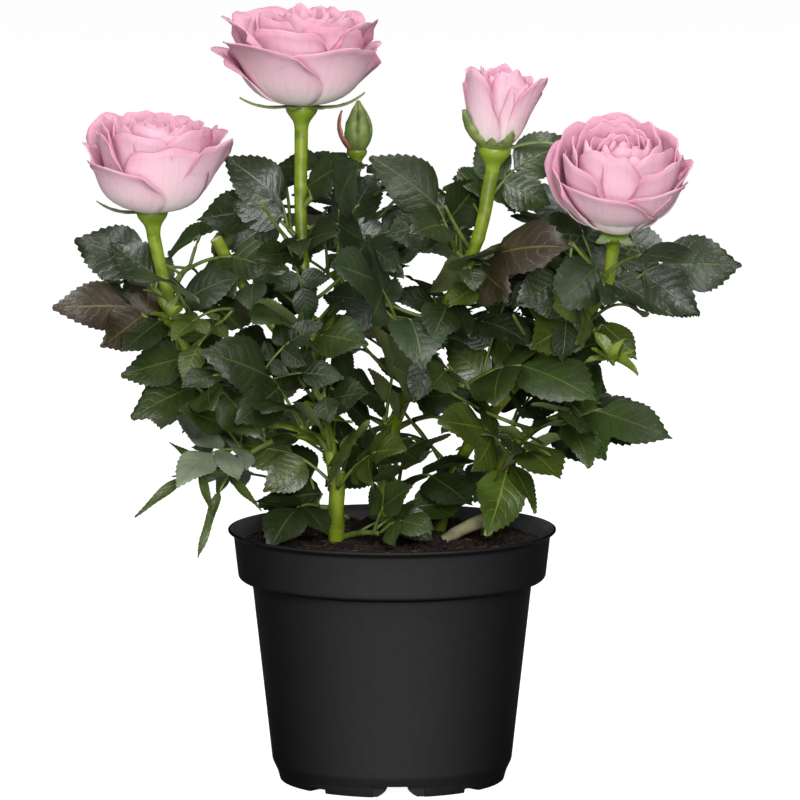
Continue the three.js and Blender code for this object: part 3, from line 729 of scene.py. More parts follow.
def bend(template, spot_at, radius_at):
    """The template tube's points, bent along a curve. radius_at knows the place along and the angle round."""
    laid = np.zeros_like(template.spots)
    frames = {}
    for i, (x, y, z) in enumerate(template.spots):
        t = round(z + 0.5, 4)
        if t not in frames:
            here, step = spot_at(t), 0.01
            along = (spot_at(min(t + step, 1)) - spot_at(max(t - step, 0))).normalized()
            side = along.cross(Vector((0, 1, 0)) if abs(along.y) < 0.8 else Vector((1, 0, 0))).normalized()
            frames[t] = here, side, side.cross(along)
        here, side, other = frames[t]
        laid[i] = here + (side * x + other * y) * radius_at(t, math.atan2(y, x))
    return laid


print("front cane leaves the peat at", [round(v, 1) for v in limb_spot("cane_front", 0)])

# %% [markdown]
# # Flower places
# A flower sits on its calyx and a calyx on its limb's tip. Its axis may lean, as the right-hand flower does, so each
# flower gets one matrix that carries its upright shape to its place.

# %% Where the flowers stand
# The axis is that of the calyx, with its radii at neck and hip and its height. The face is the way the petals look
FLOWERS = {
    "top": dict(limb="cane_front", axis=(0.02, -0.04, 1), neck=2.5, hip=5.8, tall=10),
    "left": dict(limb="bough_left", axis=(-0.05, -0.12, 1), neck=2.6, hip=5.6, tall=9, face=(0.06, -0.12, 1)),
    "right": dict(limb="cane_inner", axis=(0.04, -0.6, 0.8), neck=2.4, hip=5.6, tall=8, face=(0.04, -0.36, 0.9)),
    "half_open": dict(limb="cane_middle", axis=(0.1, -0.04, 1), neck=2.6, hip=6.0, tall=9.5),
    "bud": dict(limb="bough_bud", axis=(0.02, 0, 1), neck=1.7, hip=3.7, tall=6),
}


def standing(spot, axis):
    """A matrix that carries an upright shape to its spot and leans it along an axis."""
    return Matrix.Translation(spot) @ Vector((0, 0, 1)).rotation_difference(axis).to_matrix().to_4x4()


for flower in FLOWERS.values():
    axis = Vector(flower["axis"]).normalized()
    clear = flower["neck"] * math.sqrt(1 - axis.z**2) + 0.3
    flower["seat"] = limb_spot(flower["limb"], 1) + axis * clear
    flower["place"] = standing(flower["seat"], axis)
    top = flower["place"] @ Vector((0, 0, flower["tall"] + 0.15))
    flower["heart"] = standing(top, Vector(flower.get("face", axis)).normalized())


def carried(matrix, spots):
    return spots @ np.array(matrix.to_3x3()).T + np.array(matrix.translation)


print("flowers stand at", {name: [round(v) for v in f["seat"]] for name, f in FLOWERS.items()})

# %% [markdown]
# # Canes and boughs
# Each limb is one bent tube. Its relief is in the mesh: a faint ridge along it, and a ring with a small bud at every
# node, where a leaf once sat. The tube runs on into the base of its flower, as it does on the plant.

# %% Bend the limbs
FOLLOWS, RUNS_IN = 0.97, 0.03  # the share of a tube that follows its limb, and the rest that enters the flower
RING_HEIGHT, RING_SWELL, BUD_WIDTH, BUD_SWELL = 1.6, 0.07, 0.5, 0.28
limb_tube = tube_template(18, 110)
wearers = {flower["limb"]: flower for flower in FLOWERS.values()}
draw = seeded(777)
for name in LIMBS:
    length = limb_length(name)
    top = wearers[name]["seat"] + Vector(wearers[name]["axis"]).normalized() * 1.2 if name in wearers else None
    rings = []
    ring = 0.1 + 0.06 * next(draw)
    while ring < 0.86:
        rings.append((ring, TURN * next(draw)))
        ring += (17 + 8 * next(draw)) / length

    def spot_at(t, name=name, top=top):
        if top is None or t <= FOLLOWS:
            return limb_spot(name, t / FOLLOWS if top is not None else t)
        return limb_spot(name, 1).lerp(top, (t - FOLLOWS) / RUNS_IN)

    def radius_at(t, angle, name=name, rings=rings):
        swell = 0.0
        for place, heading in rings:
            near = math.exp(-(((t - place) * length / RING_HEIGHT) ** 2))
            bud = math.exp(-((math.remainder(angle - heading, 2 * math.pi) / BUD_WIDTH) ** 2))
            swell += near * (RING_SWELL + BUD_SWELL * bud)
        ridge = 0.03 * noise.noise(Vector((math.cos(angle) * 1.5, math.sin(angle) * 1.5, t * length * 0.05)))
        end = 0.35 if name == "cane_right" and t > 0.995 else 1
        return limb_radius(name, min(1, t / FOLLOWS)) * (1 + swell + ridge) * end

    bark = Gathering()
    bark.lay(limb_tube, bend(limb_tube, spot_at, radius_at))
    bark.finish(name + "_bark", [cane_green], "bark", [name])

# %% [markdown]
# # Cut wood
# The grower has pruned this plant: a thick green stub with a pale cut face stands in front of the main cane, another
# at the left, and a grey-brown stump leans out of the peat. Each is a short bent tube whose top face is the cut.

# %% Pruned stubs
cut_tube_bm = bmesh.new()
bmesh.ops.create_cone(cut_tube_bm, cap_ends=True, segments=16, radius1=1, radius2=1, depth=1)
cut_across(cut_tube_bm, 9)
cap = [f for f in cut_tube_bm.faces if f.normal.z > 0.9]
bmesh.ops.inset_region(cut_tube_bm, faces=cap, thickness=0.18, depth=-0.004)


def cut_face(face):
    return int(face.normal.z > 0.9 and len(face.verts) > 4)


cut_tube = Template(cut_tube_bm, cut_face, lambda v: (v.co.x, v.co.y))


def knobbly(first, last, seed):
    """A radius that goes from first to last and is a little uneven."""

    def radius_at(t, angle):
        rough = noise.noise(Vector((math.cos(angle), math.sin(angle), t * 4 + seed)))
        return (first + (last - first) * t) * (1 + 0.12 * rough)

    return radius_at


STUB_ARC = (limb_spot("cane_front", 0.47), at(-48, 12, 166), at(-64, 5, 198))
stubs = Gathering()
for foot, bow, tip, radii in (
    (at(-20.4, 1.0, 88), at(-20.6, -2, 100), at(-19.6, -3.4, 113.6), (3.0, 2.8)),
    (*STUB_ARC, (1.5, 2.3)),
    (at(38.4, 4.6, 109), at(36.5, 3.5, 113), at(35, 2, 117), (1.6, 1.5)),
):
    arc = (foot, bow, tip)
    stubs.lay(cut_tube, bend(cut_tube, lambda t, arc=arc: arc_spot(arc, t), knobbly(*radii, foot.x)))
stubs.finish("pruned_stubs", [cane_green, cut_wood], "bark", [], sharp=50)

# %% Prickles
prickle = tube_template(7, 4)
prickles = Gathering()
for name, count in (("cane_front", 4), ("cane_middle", 5), ("cane_inner", 4), ("cane_right", 3), ("bough_left", 3)):
    for i in range(count):
        place, heading = 0.06 + 0.5 * (i + next(draw)) / count, TURN * next(draw)
        foot, thick = limb_spot(name, place), limb_radius(name, place)
        out = at(*on_circle(1, heading), 0)
        arc = (foot + out * (thick - 0.4), foot + out * (thick + 1.2), foot + out * (thick + 2.4) + at(0, 0, -1.1))
        prickles.lay(prickle, bend(prickle, lambda t: arc_spot(arc, t), lambda t, angle: 0.9 * (1 - t) ** 0.8 + 0.08))
prickles.finish("prickles", [stalk_green], "bark", [])

# %% The old stump
STUMP_ARC = (at(19, -1, GROUND + 0.5), at(27, -1, 93.5), at(36.5, -3, 96.5))
stump = Gathering()
stump.lay(cut_tube, bend(cut_tube, lambda t: arc_spot(STUMP_ARC, t), knobbly(2.2, 2.7, 5)))
stump.finish("old_stump", [old_wood, cut_wood], "old_wood", ["stump"], sharp=50)

# %% [markdown]
# # Calyx
# Under each flower the cane widens into a smooth green hip, and five narrow sepals spread from its rim. The hip is
# turned. A sepal is a closed two-layer sheet, bent along an arc that starts at the rim and curls up or down. Its two
# layers let its inside have a paler colour than its outside.

# %% Turn the hips
# Share of the neck's or the hip's radius, share of the height, and rounding
HIP_PROFILE = [
    ("neck", 1.02, 0.16, 0.5), ("neck", 1.16, 0.36, 1.0), ("hip", 0.76, 0.56, 1.2), ("hip", 0.98, 0.74, 1.0),
    ("hip", 1.02, 0.9, 0.8),
]
for name, flower in FLOWERS.items():
    tall = flower["tall"]
    foot = [(0, -0.6, 0), (flower["neck"] * 0.93, -0.6, 0)]
    swell = [(flower[part] * wide, tall * high, rounding) for part, wide, high, rounding in HIP_PROFILE]
    hip_bm = turned(foot + swell + [(flower["hip"] * 0.97, tall + 0.1, 0.3), (0, tall + 0.1, 0)], 28)
    bmesh.ops.transform(hip_bm, matrix=flower["place"], verts=hip_bm.verts)
    finish_piece("hip_" + name, hip_bm, [hip_green], "calyx", [])

# %% A closed sheet for petals and sepals
def sheet_template(columns, rows):
    """Two layers, joined at their rim. x runs across from -1 to 1, y from base to tip, z is 0 inside and 1 outside."""
    bm = bmesh.new()
    bmesh.ops.create_grid(bm, x_segments=columns, y_segments=rows, size=1)
    bmesh.ops.solidify(bm, geom=bm.faces[:], thickness=1)
    heights = [v.co.z for v in bm.verts]
    low, high = min(heights), max(heights)
    for vert in bm.verts:
        vert.co = (vert.co.x, (vert.co.y + 1) / 2, (vert.co.z - low) / (high - low))
    return Template(
        bm, lambda face: int(sum(v.co.z for v in face.verts) < 0.5 * len(face.verts)),
        lambda v: (0.5 + 0.5 * v.co.x, v.co.y),
    )


def sheet_between(template, surface, thickness):
    """Lays both layers beside a surface, each half the thickness away from it."""
    u, v, side = template.spots.T
    near = np.clip(v, 0.03, 0.97)
    step = 0.01
    across = surface(u + step, near) - surface(u - step, near)
    along = surface(u, near + step) - surface(u, near - step)
    normal = np.cross(across, along)
    normal /= np.linalg.norm(normal, axis=1)[:, None] + 1e-9
    return surface(u, v) + normal * ((side - 0.5) * thickness)[:, None]


petal_sheet = sheet_template(14, 12)
sepal_sheet = sheet_template(4, 14)
print("petal template faces:", len(petal_sheet.faces), "sepal template faces:", len(sepal_sheet.faces))

# %% Sepals
SEPAL_THICKNESS = 0.45
# Heading, length, width, the angle at which it leaves the rim, how far it curls, and how far its tip turns back.
# Angles are in degrees.
CLASPING = (21, 9.4, 45, 135, 60)
SEPALS = {
    "top": [(186, 19, 6, -12, 46), (250, 7, 5, -6, 20), (318, 7, 5, -6, 20), (4, 20, 6, -10, 56), (95, 16, 5, 0, 20)],
    "left": [
        (172, 17, 4.5, -8, 50), (205, 15, 5, 25, 50), (268, 7.5, 5, 62, 20), (335, 15, 5, 8, 40), (80, 14, 5, 0, 20),
    ],
    "right": [
        (20, 15, 5, -60, -60), (95, 13, 5, 0, 20), (165, 13, 5, 10, 20), (235, 9, 5, -10, 60), (300, 9, 5, -10, 60),
    ],
    "half_open": [
        (210, 18, 12, 30, 50), (262, 8, 7, 30, 40), (300, 11, 8, 30, 42), (0, 25, 5.5, 30, -58), (100, 13, 6, 35, 45),
    ],
    "bud": [(196, 17, 7, 40, 78), (237, *CLASPING), (306, *CLASPING), (18, *CLASPING), (92, *CLASPING)],
}


def sepal_surface(flower, heading, length, width, leave, curl, hook=0):
    """A narrow strip wrapped round the flower's axis: its middle line is an arc that starts at the hip's rim."""
    leave, curl = math.radians(leave), math.radians(curl)

    def surface(u, v):
        bent = np.linspace(0, 1, 41)
        slope = leave + curl * bent**1.2 - math.radians(hook) * bent**4
        run = np.concatenate(([0], np.cumsum(np.cos(slope[1:]) * length / 40)))
        rise = np.concatenate(([0], np.cumsum(np.sin(slope[1:]) * length / 40)))
        radius = flower["hip"] - 1.3 + np.interp(v, bent, run)
        height = flower["tall"] - 0.7 + np.interp(v, bent, rise)
        half = width / 2 * np.clip((1 - v) ** 0.8 * (1 + 0.5 * v) * (1 + 0.16 * np.sin(v * 25)), 0.05, None)
        lean = np.interp(v, bent, slope)
        cup = 0.01 * width**2 * u**2
        out, tall = radius - cup * np.sin(lean), height + cup * np.cos(lean)
        turn = math.radians(heading) + half * u / np.maximum(radius, 1.5)
        return np.stack([out * np.cos(turn), out * np.sin(turn), tall], axis=1)

    return surface


for name, flower in FLOWERS.items():
    ruff = Gathering()
    for i, row in enumerate(SEPALS[name]):
        spots = sheet_between(sepal_sheet, sepal_surface(flower, *row), SEPAL_THICKNESS)
        blushing = name == "bud" and i == 0
        ruff.lay(sepal_sheet, carried(flower["place"], spots), 2 if blushing else 0)
    ruff.finish("sepals_" + name, [sepal_outside, sepal_inside, sepal_blush, sepal_inside], "calyx", ["calyx_" + name])

# %% [markdown]
# # Petals
# A garden rose of this kind has about thirty petals in rings, the outer ones open like saucers and the inner ones
# rolled round the heart. One function gives the surface of a petal: a smooth profile seen from the side, wrapped round
# the flower's axis, with a lip that rolls outwards, corners that curl back, and a slightly wavy edge. A ring is a row
# of numbers, and every petal in it is varied a little by the seeded numbers. Petals could be sculpted one by one, but a
# row of numbers is quicker to set against the photograph.

# %% One petal's surface
def swept(a, b, c, d, t):
    """A value that goes from a to d and is drawn towards b, then towards c, on its way."""
    return a * (1 - t) ** 3 + 3 * b * t * (1 - t) ** 2 + 3 * c * t**2 * (1 - t) + d * t**3


def petal_surface(p):
    """The spots of a petal for u across, from -1 to 1, and v from base to lip. p holds its measures."""

    def surface(u, v):
        ragged = 0.02 * np.sin(p["waves"] * 1.7 * u + p["phase"]) + 0.012 * np.sin(9.5 * u + 2 * p["phase"])
        point = p["point"] * np.exp(-((u / 0.4) ** 2)) * v**4
        w = v * (1 - p["drop"] * np.abs(u) ** 3.2 + ragged * v**2) + point
        radius = swept(0.8, p["belly"] * (0.98 - 0.04 * p["lift"]), p["belly"], p["reach"], w)
        height = swept(0, p["lift"], p["height"] * 0.55, p["height"], w)
        top = np.clip((w - 0.66) / 0.34, 0, None)
        side = np.clip((np.abs(u) - 0.5) / 0.5, 0, 1) * np.clip((v - 0.5) / 0.45, 0, 1)
        wave = p["ruffle"] * (np.sin(p["waves"] * u + p["phase"]) + 0.5 * np.sin(2.7 * p["waves"] * u)) * v**4
        radius = radius + p["roll"] * (top**2 + p["curl"] * side**2) + wave + p["spiral"] * u * v
        height = height - p["roll"] * (0.6 * top**2.4 + 0.35 * p["curl"] * side**2) + 0.5 * wave
        half = p["width"] * (1 - (1 - v) ** 2.1) * (1 - 0.1 * v**4)
        angle = p["angle"] + u * (1 - 0.1 * side**2) * half / np.maximum(radius, 3.0)
        return np.stack([radius * np.cos(angle), radius * np.sin(angle), height], axis=1)

    return surface


print("halfway up, a profile from 0 to 1 that is drawn towards 2 has come to", swept(0, 2, 2, 1, 0.5))

# %% Rings of petals
PETAL_THICKNESS = 0.4
HABIT = dict(curl=0.8, point=0.0, ruffle=0.5, spiral=1.8, drop=0.16, lift=0.0)


def ring(count, turn, reach, height, belly, width, roll, *habit, **more):
    """A ring of petals: reach and height are those of the lip, belly the widest radius below it."""
    row = dict(count=count, turn=turn, reach=reach, height=height, belly=belly, width=width, roll=roll, **HABIT)
    row.update(zip(HABIT, habit))
    row.update(more)
    return row


def one(heading, *measures, **more):
    """A single petal, listed on its own."""
    return ring(1, heading, *measures, **more)


def grow_ring(heap, place, row, draw):
    for i in range(row["count"]):
        # A petal listed on its own keeps its main measures more strictly
        vary = [(next(draw) - 0.5) * (0.25 if row["count"] == 1 and k < 5 else 1) for k in range(7)]
        petal = dict(row)
        petal["angle"] = math.radians(row["turn"] + 360 / row["count"] * i + 14 * vary[0])
        for measure, share, by_chance in zip(("reach", "height", "roll", "width"), (0.1, 0.08, 0.8, 0.14), vary[1:5]):
            petal[measure] *= 1 + share * by_chance
        petal["phase"], petal["waves"] = TURN * vary[5], 4 + 3 * vary[6]
        spots = sheet_between(petal_sheet, petal_surface(petal), PETAL_THICKNESS)
        heap.lay(petal_sheet, carried(place, spots))


plain_petal = dict(one(0, 22, 30, 18, 20, 2), angle=0, phase=0, waves=4)
print("the lip of a plain petal lies at", petal_surface(plain_petal)(np.zeros(1), np.ones(1)).round(1).tolist())

# %% The petals of each flower
# A single petal: heading, reach, height, belly, width, roll, then its curl, point and ruffle where they differ.
# A ring starts with the number of its petals.
RINGS = {
    "top": [
        one(232, 28, 24, 21.5, 26, 2.4, 1.0, 0.24), one(304, 25.5, 23.5, 21.5, 27, 3.0, 1.1, 0.1),
        one(176, 27.5, 20.5, 21, 19, 3.0, 0.8, 0.06), one(22, 26, 24, 21, 22, 3.2), one(105, 28, 21, 21, 24, 3.2),
        one(198, 25, 34, 18.5, 21, 4.6, 1.0), one(342, 21.5, 34.5, 17.5, 18, 4.4, 0.9),
        one(255, 20.5, 31, 18.5, 21, 3.5, 0.7, 0.03), one(302, 19.5, 31.5, 18, 19, 3.0, 0.8, 0.05),
        one(62, 23, 35, 18, 22, 4.5), one(130, 23, 34.5, 18, 22, 4.5),
        ring(4, 226, 16.5, 34.5, 16, 16, 3.0), ring(4, 260, 12.5, 34.5, 13, 13, 2.2),
        ring(4, 230, 8.6, 34, 9.8, 10, 1.4, ruffle=0.3), ring(3, 250, 4.4, 34.5, 7.2, 8.6, 0.6, ruffle=0.15),
        ring(3, 300, 1.6, 33.5, 5, 6.4, 0.2, ruffle=0.1, drop=0.3),
    ],
    "left": [
        one(228, 23.5, 20, 21.5, 24, 3.0, 0.7, 0.05), one(288, 20, 27.5, 21, 20, 1.2, 0.4),
        one(336, 26, 30, 21, 14, 2.2, 0.7), one(354, 24, 26, 20, 13, 1.8, 0.6),
        one(182, 21.5, 23, 19.5, 11, 2.0, 0.6, 0.06), one(203, 21.5, 31, 18.6, 16, 2.0), one(60, 24, 30, 20, 22, 3.0),
        one(122, 24, 31, 20, 22, 3.0), one(20, 23.5, 31, 19.4, 15, 2.6), ring(5, 250, 17.5, 32.5, 17, 17, 2.0),
        ring(4, 210, 15, 33, 15, 16, 2.0), ring(4, 250, 11.5, 32.5, 12.5, 13, 1.8),
        ring(4, 225, 7.8, 32, 9, 10, 1.2, ruffle=0.3), ring(3, 250, 4.2, 31.5, 6.6, 8, 0.6, ruffle=0.15),
        ring(3, 300, 1.6, 30.5, 4.6, 6, 0.2, ruffle=0.1, drop=0.3),
    ],
    "right": [
        one(246, 21.5, 26.5, 25, 27, 4.0, 0.5, lift=8, drop=0.3),
        one(314, 21.5, 27, 24.6, 24, 4.0, 0.2, lift=8, drop=0.3), one(356, 23, 27, 23.4, 19, 2.6, lift=5),
        one(182, 22, 27, 24, 23, 2.2, lift=5), one(60, 23, 28, 24, 25, 2.6), one(120, 23, 28, 24, 25, 2.6),
        one(210, 19, 33, 22.5, 20, 2.4, lift=6), one(330, 19, 33, 22.5, 20, 2.4, lift=6),
        one(30, 19, 35, 22, 21, 2.2), one(90, 18.5, 36, 22, 23, 2.2), one(150, 19, 35, 22, 21, 2.2),
        ring(5, 246, 14.5, 36, 18.4, 16.5, 1.7), ring(5, 282, 12, 35.5, 16.4, 15, 1.5, ruffle=0.35),
        ring(4, 250, 8.8, 35, 13.2, 13.6, 1.2, ruffle=0.3), ring(4, 205, 5.6, 35, 10.8, 12.2, 0.8, ruffle=0.2),
        ring(3, 262, 2.0, 35, 9, 12, 0.3, 0.4, ruffle=0.1, drop=0.25),
        ring(3, 320, 0.6, 33, 7, 9.6, 0.1, 0.2, ruffle=0.05, drop=0.25),
    ],
    "half_open": [
        one(222, 14.2, 28.5, 12.6, 12.8, 0.7, 0.3, 0, 0.3, drop=0.3), one(340, 13.6, 26, 10.4, 8.4, 1.2, 0.5, 0.1),
        one(288, 8.4, 28.5, 9.6, 7.6, 0.8, 0.6, 0.03), one(262, 6.6, 27, 9.0, 8.0, 0.7, 0.5),
        one(316, 10, 24.5, 10, 7.4, 1.0, 0.7), one(60, 13, 26, 10, 12, 1.4), one(120, 12, 27, 10, 12, 1.4),
        one(165, 11.5, 27, 10.4, 9, 1.0, 0.5), ring(3, 318, 7.4, 28, 8, 8.4, 0.9, ruffle=0.4),
        ring(3, 260, 4.5, 28, 6, 7.4, 0.6, ruffle=0.25), ring(2, 290, 1.8, 27, 4, 5.6, 0.2, ruffle=0.1, drop=0.3),
    ],
    "bud": [
        ring(3, 185, 0.8, 16.0, 5.2, 6.4, 0.1, 0.1, ruffle=0.1, spiral=1.0, drop=0.4),
        ring(3, 245, 0.5, 15.0, 3.8, 4.8, 0.1, 0.1, ruffle=0.1, spiral=1.0, drop=0.4),
    ],
}
for name, flower in FLOWERS.items():
    draw = seeded(31337 + 101 * len(name))
    heap = Gathering()
    for row in RINGS[name]:
        grow_ring(heap, flower["heart"], row, draw)
    heap.finish("petals_" + name, [petal_back, petal_face_tint_and_shade], "calyx" if name == "bud" else "petals", ["bloom_" + name])

# %% [markdown]
# # A leaflet
# A rose leaflet is oval with a sharp tip, and its edge is cut into fine teeth that point forwards. The template is a
# flat two-layer sheet whose edge points are pushed out for every tooth. The lower layer keeps only a few large faces
# and shares its rim with the upper one, so a leaflet is closed and still has under a hundred faces.

# %% The leaflet template
TEETH = 12
STATIONS = 2 * TEETH
# Share of the length from the stalk, and half the width there as a share of the whole width
OUTLINE = [
    (0, 0), (0.05, 0.2), (0.13, 0.35), (0.26, 0.465), (0.4, 0.5), (0.55, 0.46), (0.7, 0.345), (0.83, 0.19),
    (0.93, 0.07), (1, 0),
]


def half_outline(t):
    return float(np.interp(t, [p[0] for p in OUTLINE], [p[1] for p in OUTLINE]))


def leaflet_template():
    """The leaflet lies along x from 0 to 1. Face kind 0 is its upper side, 1 its underside."""
    bm = bmesh.new()
    bmesh.ops.create_grid(bm, x_segments=STATIONS, y_segments=4, size=1)
    bmesh.ops.solidify(bm, geom=bm.faces[:], thickness=1)
    top = max(v.co.z for v in bm.verts)
    for vert in bm.verts:
        vert.co.z = 0 if vert.co.z > top - 0.5 else -1
    low = [e for e in bm.edges if all(f.calc_center_median().z < -0.9 for f in e.link_faces)]
    spare = []
    for edge in low:
        (x1, y1), (x2, y2) = (v.co.xy for v in edge.verts)
        station = round((x1 + 1) / 2 * STATIONS)
        if (abs(y1 - y2) < 0.01 and 0.25 < abs(y1) < 0.75) or (abs(x1 - x2) < 0.01 and station % 2):
            spare.append(edge)
    for edge in bm.edges:
        (x1, y1), (x2, y2) = (v.co.xy for v in edge.verts)
        inner = max(abs(y1), abs(y2)) < 0.75 and all(f.calc_center_median().z > -0.1 for f in edge.link_faces)
        if inner and abs(x1 - x2) < 0.01 and round((x1 + 1) / 2 * STATIONS) % 2:
            spare.append(edge)
    bmesh.ops.dissolve_edges(bm, edges=spare, use_verts=True)
    across_layer = bm.verts.layers.float.new("across")
    along_layer = bm.verts.layers.float.new("along")
    for vert in bm.verts:
        t, u = (vert.co.x + 1) / 2, vert.co.y
        station = round(t * STATIONS)
        edge = abs(u) > 0.9
        if station in (0, STATIONS):
            u = 0
        vert[across_layer], vert[along_layer] = u, t
        half = half_outline(t)
        if edge and 0 < station < STATIONS:
            tooth = station % 2
            half = half * (1.02 if tooth else 0.975) + (0.004 if tooth else -0.002)
            t += (0.6 if tooth else -0.1) / STATIONS
        below = vert.co.z < -0.5 and not edge and station not in (0, STATIONS)
        vert.co = (t, half * u, -1 if below else 0)
    bmesh.ops.remove_doubles(bm, verts=bm.verts, dist=1e-4)
    bmesh.ops.dissolve_degenerate(bm, dist=1e-5, edges=bm.edges)
    return Template(
        bm, lambda face: int(any(v.co.z < -0.5 for v in face.verts)),
        lambda v: (0.5 + 0.5 * v[across_layer], v[along_layer]),
    )


leaflet = leaflet_template()
chart_across = 2 * leaflet.chart[:, 0] - 1
print("leaflet template faces:", len(leaflet.faces))

# %% Bend a leaflet
LEAFLET_THICKNESS = 0.35
stalks = Gathering()
stalk_tube = tube_template(5, 8)
stem_tube = tube_template(8, 10)
kinds = {tone: 2 * i for i, tone in enumerate(LEAF_TONES)}
heaps = {slot: Gathering() for slot in ("leaves", "bronze_leaves", "young_leaves")}


def heap_for(tone):
    return heaps.get(tone + "_leaves", heaps["leaves"])


def leaflet_spots(base, along, normal, length, width, vary):
    """Bends the template: a fold along the midrib, a droop towards the tip, a twist and a wavy edge."""
    x, y, low = leaflet.spots.T
    fold, droop = 0.02 + 0.3 * vary[0] ** 2, 0.04 + 0.2 * vary[1]
    twist, ripple, phase = 0.5 * (vary[2] - 0.5), 0.02 + 0.02 * vary[3], TURN * vary[0]
    inner = (np.abs(chart_across) > 0.2) & (np.abs(chart_across) < 0.8)
    run = length * (x - 0.4 * droop**2 * x**3)
    rise = fold * width * np.abs(y) - droop * length * x**2 + LEAFLET_THICKNESS * low
    rise = rise + 0.03 * width * inner * (low > -0.5)
    rise = rise + ripple * length * np.abs(chart_across) * np.sin(9 * x + phase + 2 * np.sign(y))
    swung = y * width
    across = swung * np.cos(twist * x) - rise * np.sin(twist * x) + 0.05 * length * (vary[3] - 0.5) * x**2
    rise = rise * np.cos(twist * x) + swung * np.sin(twist * x)
    side = normal.cross(along)
    return np.array(base) + np.outer(run, along) + np.outer(across, side) + np.outer(rise, normal)


print("foliage pieces:", list(heaps))

# %% Room between the leaves
# The distance in millimetres that a new leaf keeps from each kind of thing
LEAF_GAP, STALK_GAP, PETAL_GAP, LIMB_GAP = 1.0, 0.9, 2.2, 1
BLOCK, WIDEST_GAP = 12, 4  # a block's width, and how far round itself a leaf looks for others


class Room:
    """Points already taken, sorted into blocks, each with the distance that a new leaf keeps from it."""

    def __init__(self):
        self.blocks, self.count = {}, 0

    def take(self, spots, keep):
        for x, y, z in np.asarray(spots).tolist():
            self.blocks.setdefault((x // BLOCK, y // BLOCK, z // BLOCK), []).append((x, y, z, keep))
            self.count += 1

    def is_free(self, spots):
        low, high = (spots.min(axis=0) - WIDEST_GAP) // BLOCK, (spots.max(axis=0) + WIDEST_GAP) // BLOCK
        spans = [np.arange(a, b + 1).tolist() for a, b in zip(low, high)]
        near = [row for i in spans[0] for j in spans[1] for k in spans[2] for row in self.blocks.get((i, j, k), ())]
        if not near:
            return True
        near = np.array(near)
        gaps = np.linalg.norm(spots[:, None] - near[None, :, :3], axis=2)
        return bool(np.all(gaps > near[None, :, 3]))


room = Room()
on_top = [i for i, (x, y, low) in enumerate(leaflet.spots) if low > -0.5]
sample = on_top[::2]
blades = []


def lay_leaflet(spots, tone):
    heap_for(tone).lay(leaflet, spots, kinds[tone])
    room.take(spots[sample], LEAF_GAP)
    blades.append(spots[on_top])


print("points of a leaflet that keep their room:", len(sample))

# %% [markdown]
# # The leaf rule
# The part grows its sprays by a rule with seeded numbers. The same rule is written again here, so each leaf stands
# where its solid stands. The part skipped a leaf or leaflet that had no room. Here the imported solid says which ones
# grew: a leaflet is there if two of its three outer corners are corners of the solid.

# %% Arcs and ways for the rule
def square_to(way, along):
    """The part of a way that stands square to another, as a unit vector."""
    return (way - along * way.dot(along)).normalized()


def facing(spot, along, tilt):
    """The way a leaf's upper side looks: up, outwards, and in front also to the viewer."""
    face = Vector((spot.x, spot.y, 0)) / 100 + Vector((0.1, -1.1 if spot.y < 20 else 0.3, 0))
    return square_to(face + Vector((tilt * 0.5, 0, 0.8)), along)


def bowed(start, end, rise):
    """An arc whose middle is pulled up by a rise."""
    return start, (start + end) / 2 + Vector((0, 0, rise)), end


def on_stalk(arc, t):
    """A spot on the arc as the part's solid has it, which is of two straight pieces."""
    half = 0 if t < 0.5 else 0.5
    return arc_spot(arc, half).lerp(arc_spot(arc, half + 0.5), (t - half) * 2)


print("a leaf over the front cane looks", [round(v, 2) for v in facing(limb_spot("cane_front", 0.5), at(1, 0, 0), 0)])

# %% The rule for one compound leaf
# How far behind the tip a pair of leaflets sits, and its size, both as shares of the end leaflet's size
PAIRS = ((0.26, 0.8), (0.78, 0.58))
CORNER_GAP = 0.35  # how near a corner of the solid has to be, in millimetres


def leaf_plan(start, tip, size, slim, draws):
    """A leaf's stalk and its leaflets: one at the end, and a pair at each place for which the stalk is long enough."""
    along = ((tip - start).normalized() + Vector((0, 0, -0.22))).normalized()
    node = tip - along * size
    stalk = (node - start).length
    arc = bowed(start, node, 0.14 * stalk)
    normal = facing(node, along, draws[0] - 0.5)
    found = [dict(base=node, along=along, normal=normal, length=size, width=size * 0.76 * slim, t=1.0)]
    for row, (back, share) in enumerate(PAIRS):
        t = 1 - back * size / max(stalk, 1)
        if t < 0.22:
            continue
        tangent = (arc_spot(arc, min(t + 1e-4, 1)) - arc_spot(arc, t - 1e-4)).normalized()
        flat = square_to(normal, tangent)
        side = flat.cross(tangent)
        for hand in (-1, 1):
            splay = 1.2 + 0.3 * (draws[1 + row] - 0.5)
            out = tangent * math.cos(splay) + side * (hand * math.sin(splay)) + flat * (0.25 * (draws[3] - 0.6))
            out.normalize()
            place, length = t + hand * 0.6 / stalk, size * share
            found.append(dict(
                base=on_stalk(arc, place), along=out, normal=square_to(flat, out), length=length,
                width=length * 0.78 * slim, t=place,
            ))
    return arc, found


def outer_corners(leaf):
    side = leaf["normal"].cross(leaf["along"])
    middle = leaf["base"] + leaf["along"] * (0.4 * leaf["length"]) + leaf["normal"] * (0.07 * leaf["width"])
    return (
        leaf["base"] + leaf["along"] * leaf["length"] - leaf["normal"] * (0.06 * leaf["length"]),
        middle + side * (leaf["width"] / 2),
        middle - side * (leaf["width"] / 2),
    )


def corners_found(tree, leaf):
    """How many of a leaflet's three outer corners are corners of the solid."""
    return sum(tree.find(corner * MM)[2] < CORNER_GAP * MM for corner in outer_corners(leaf))


print("leaflets of a compound leaf:", len(leaf_plan(at(0, 0, 0), at(60, 0, 30), 26, 1, [0.5] * 4)[1]))

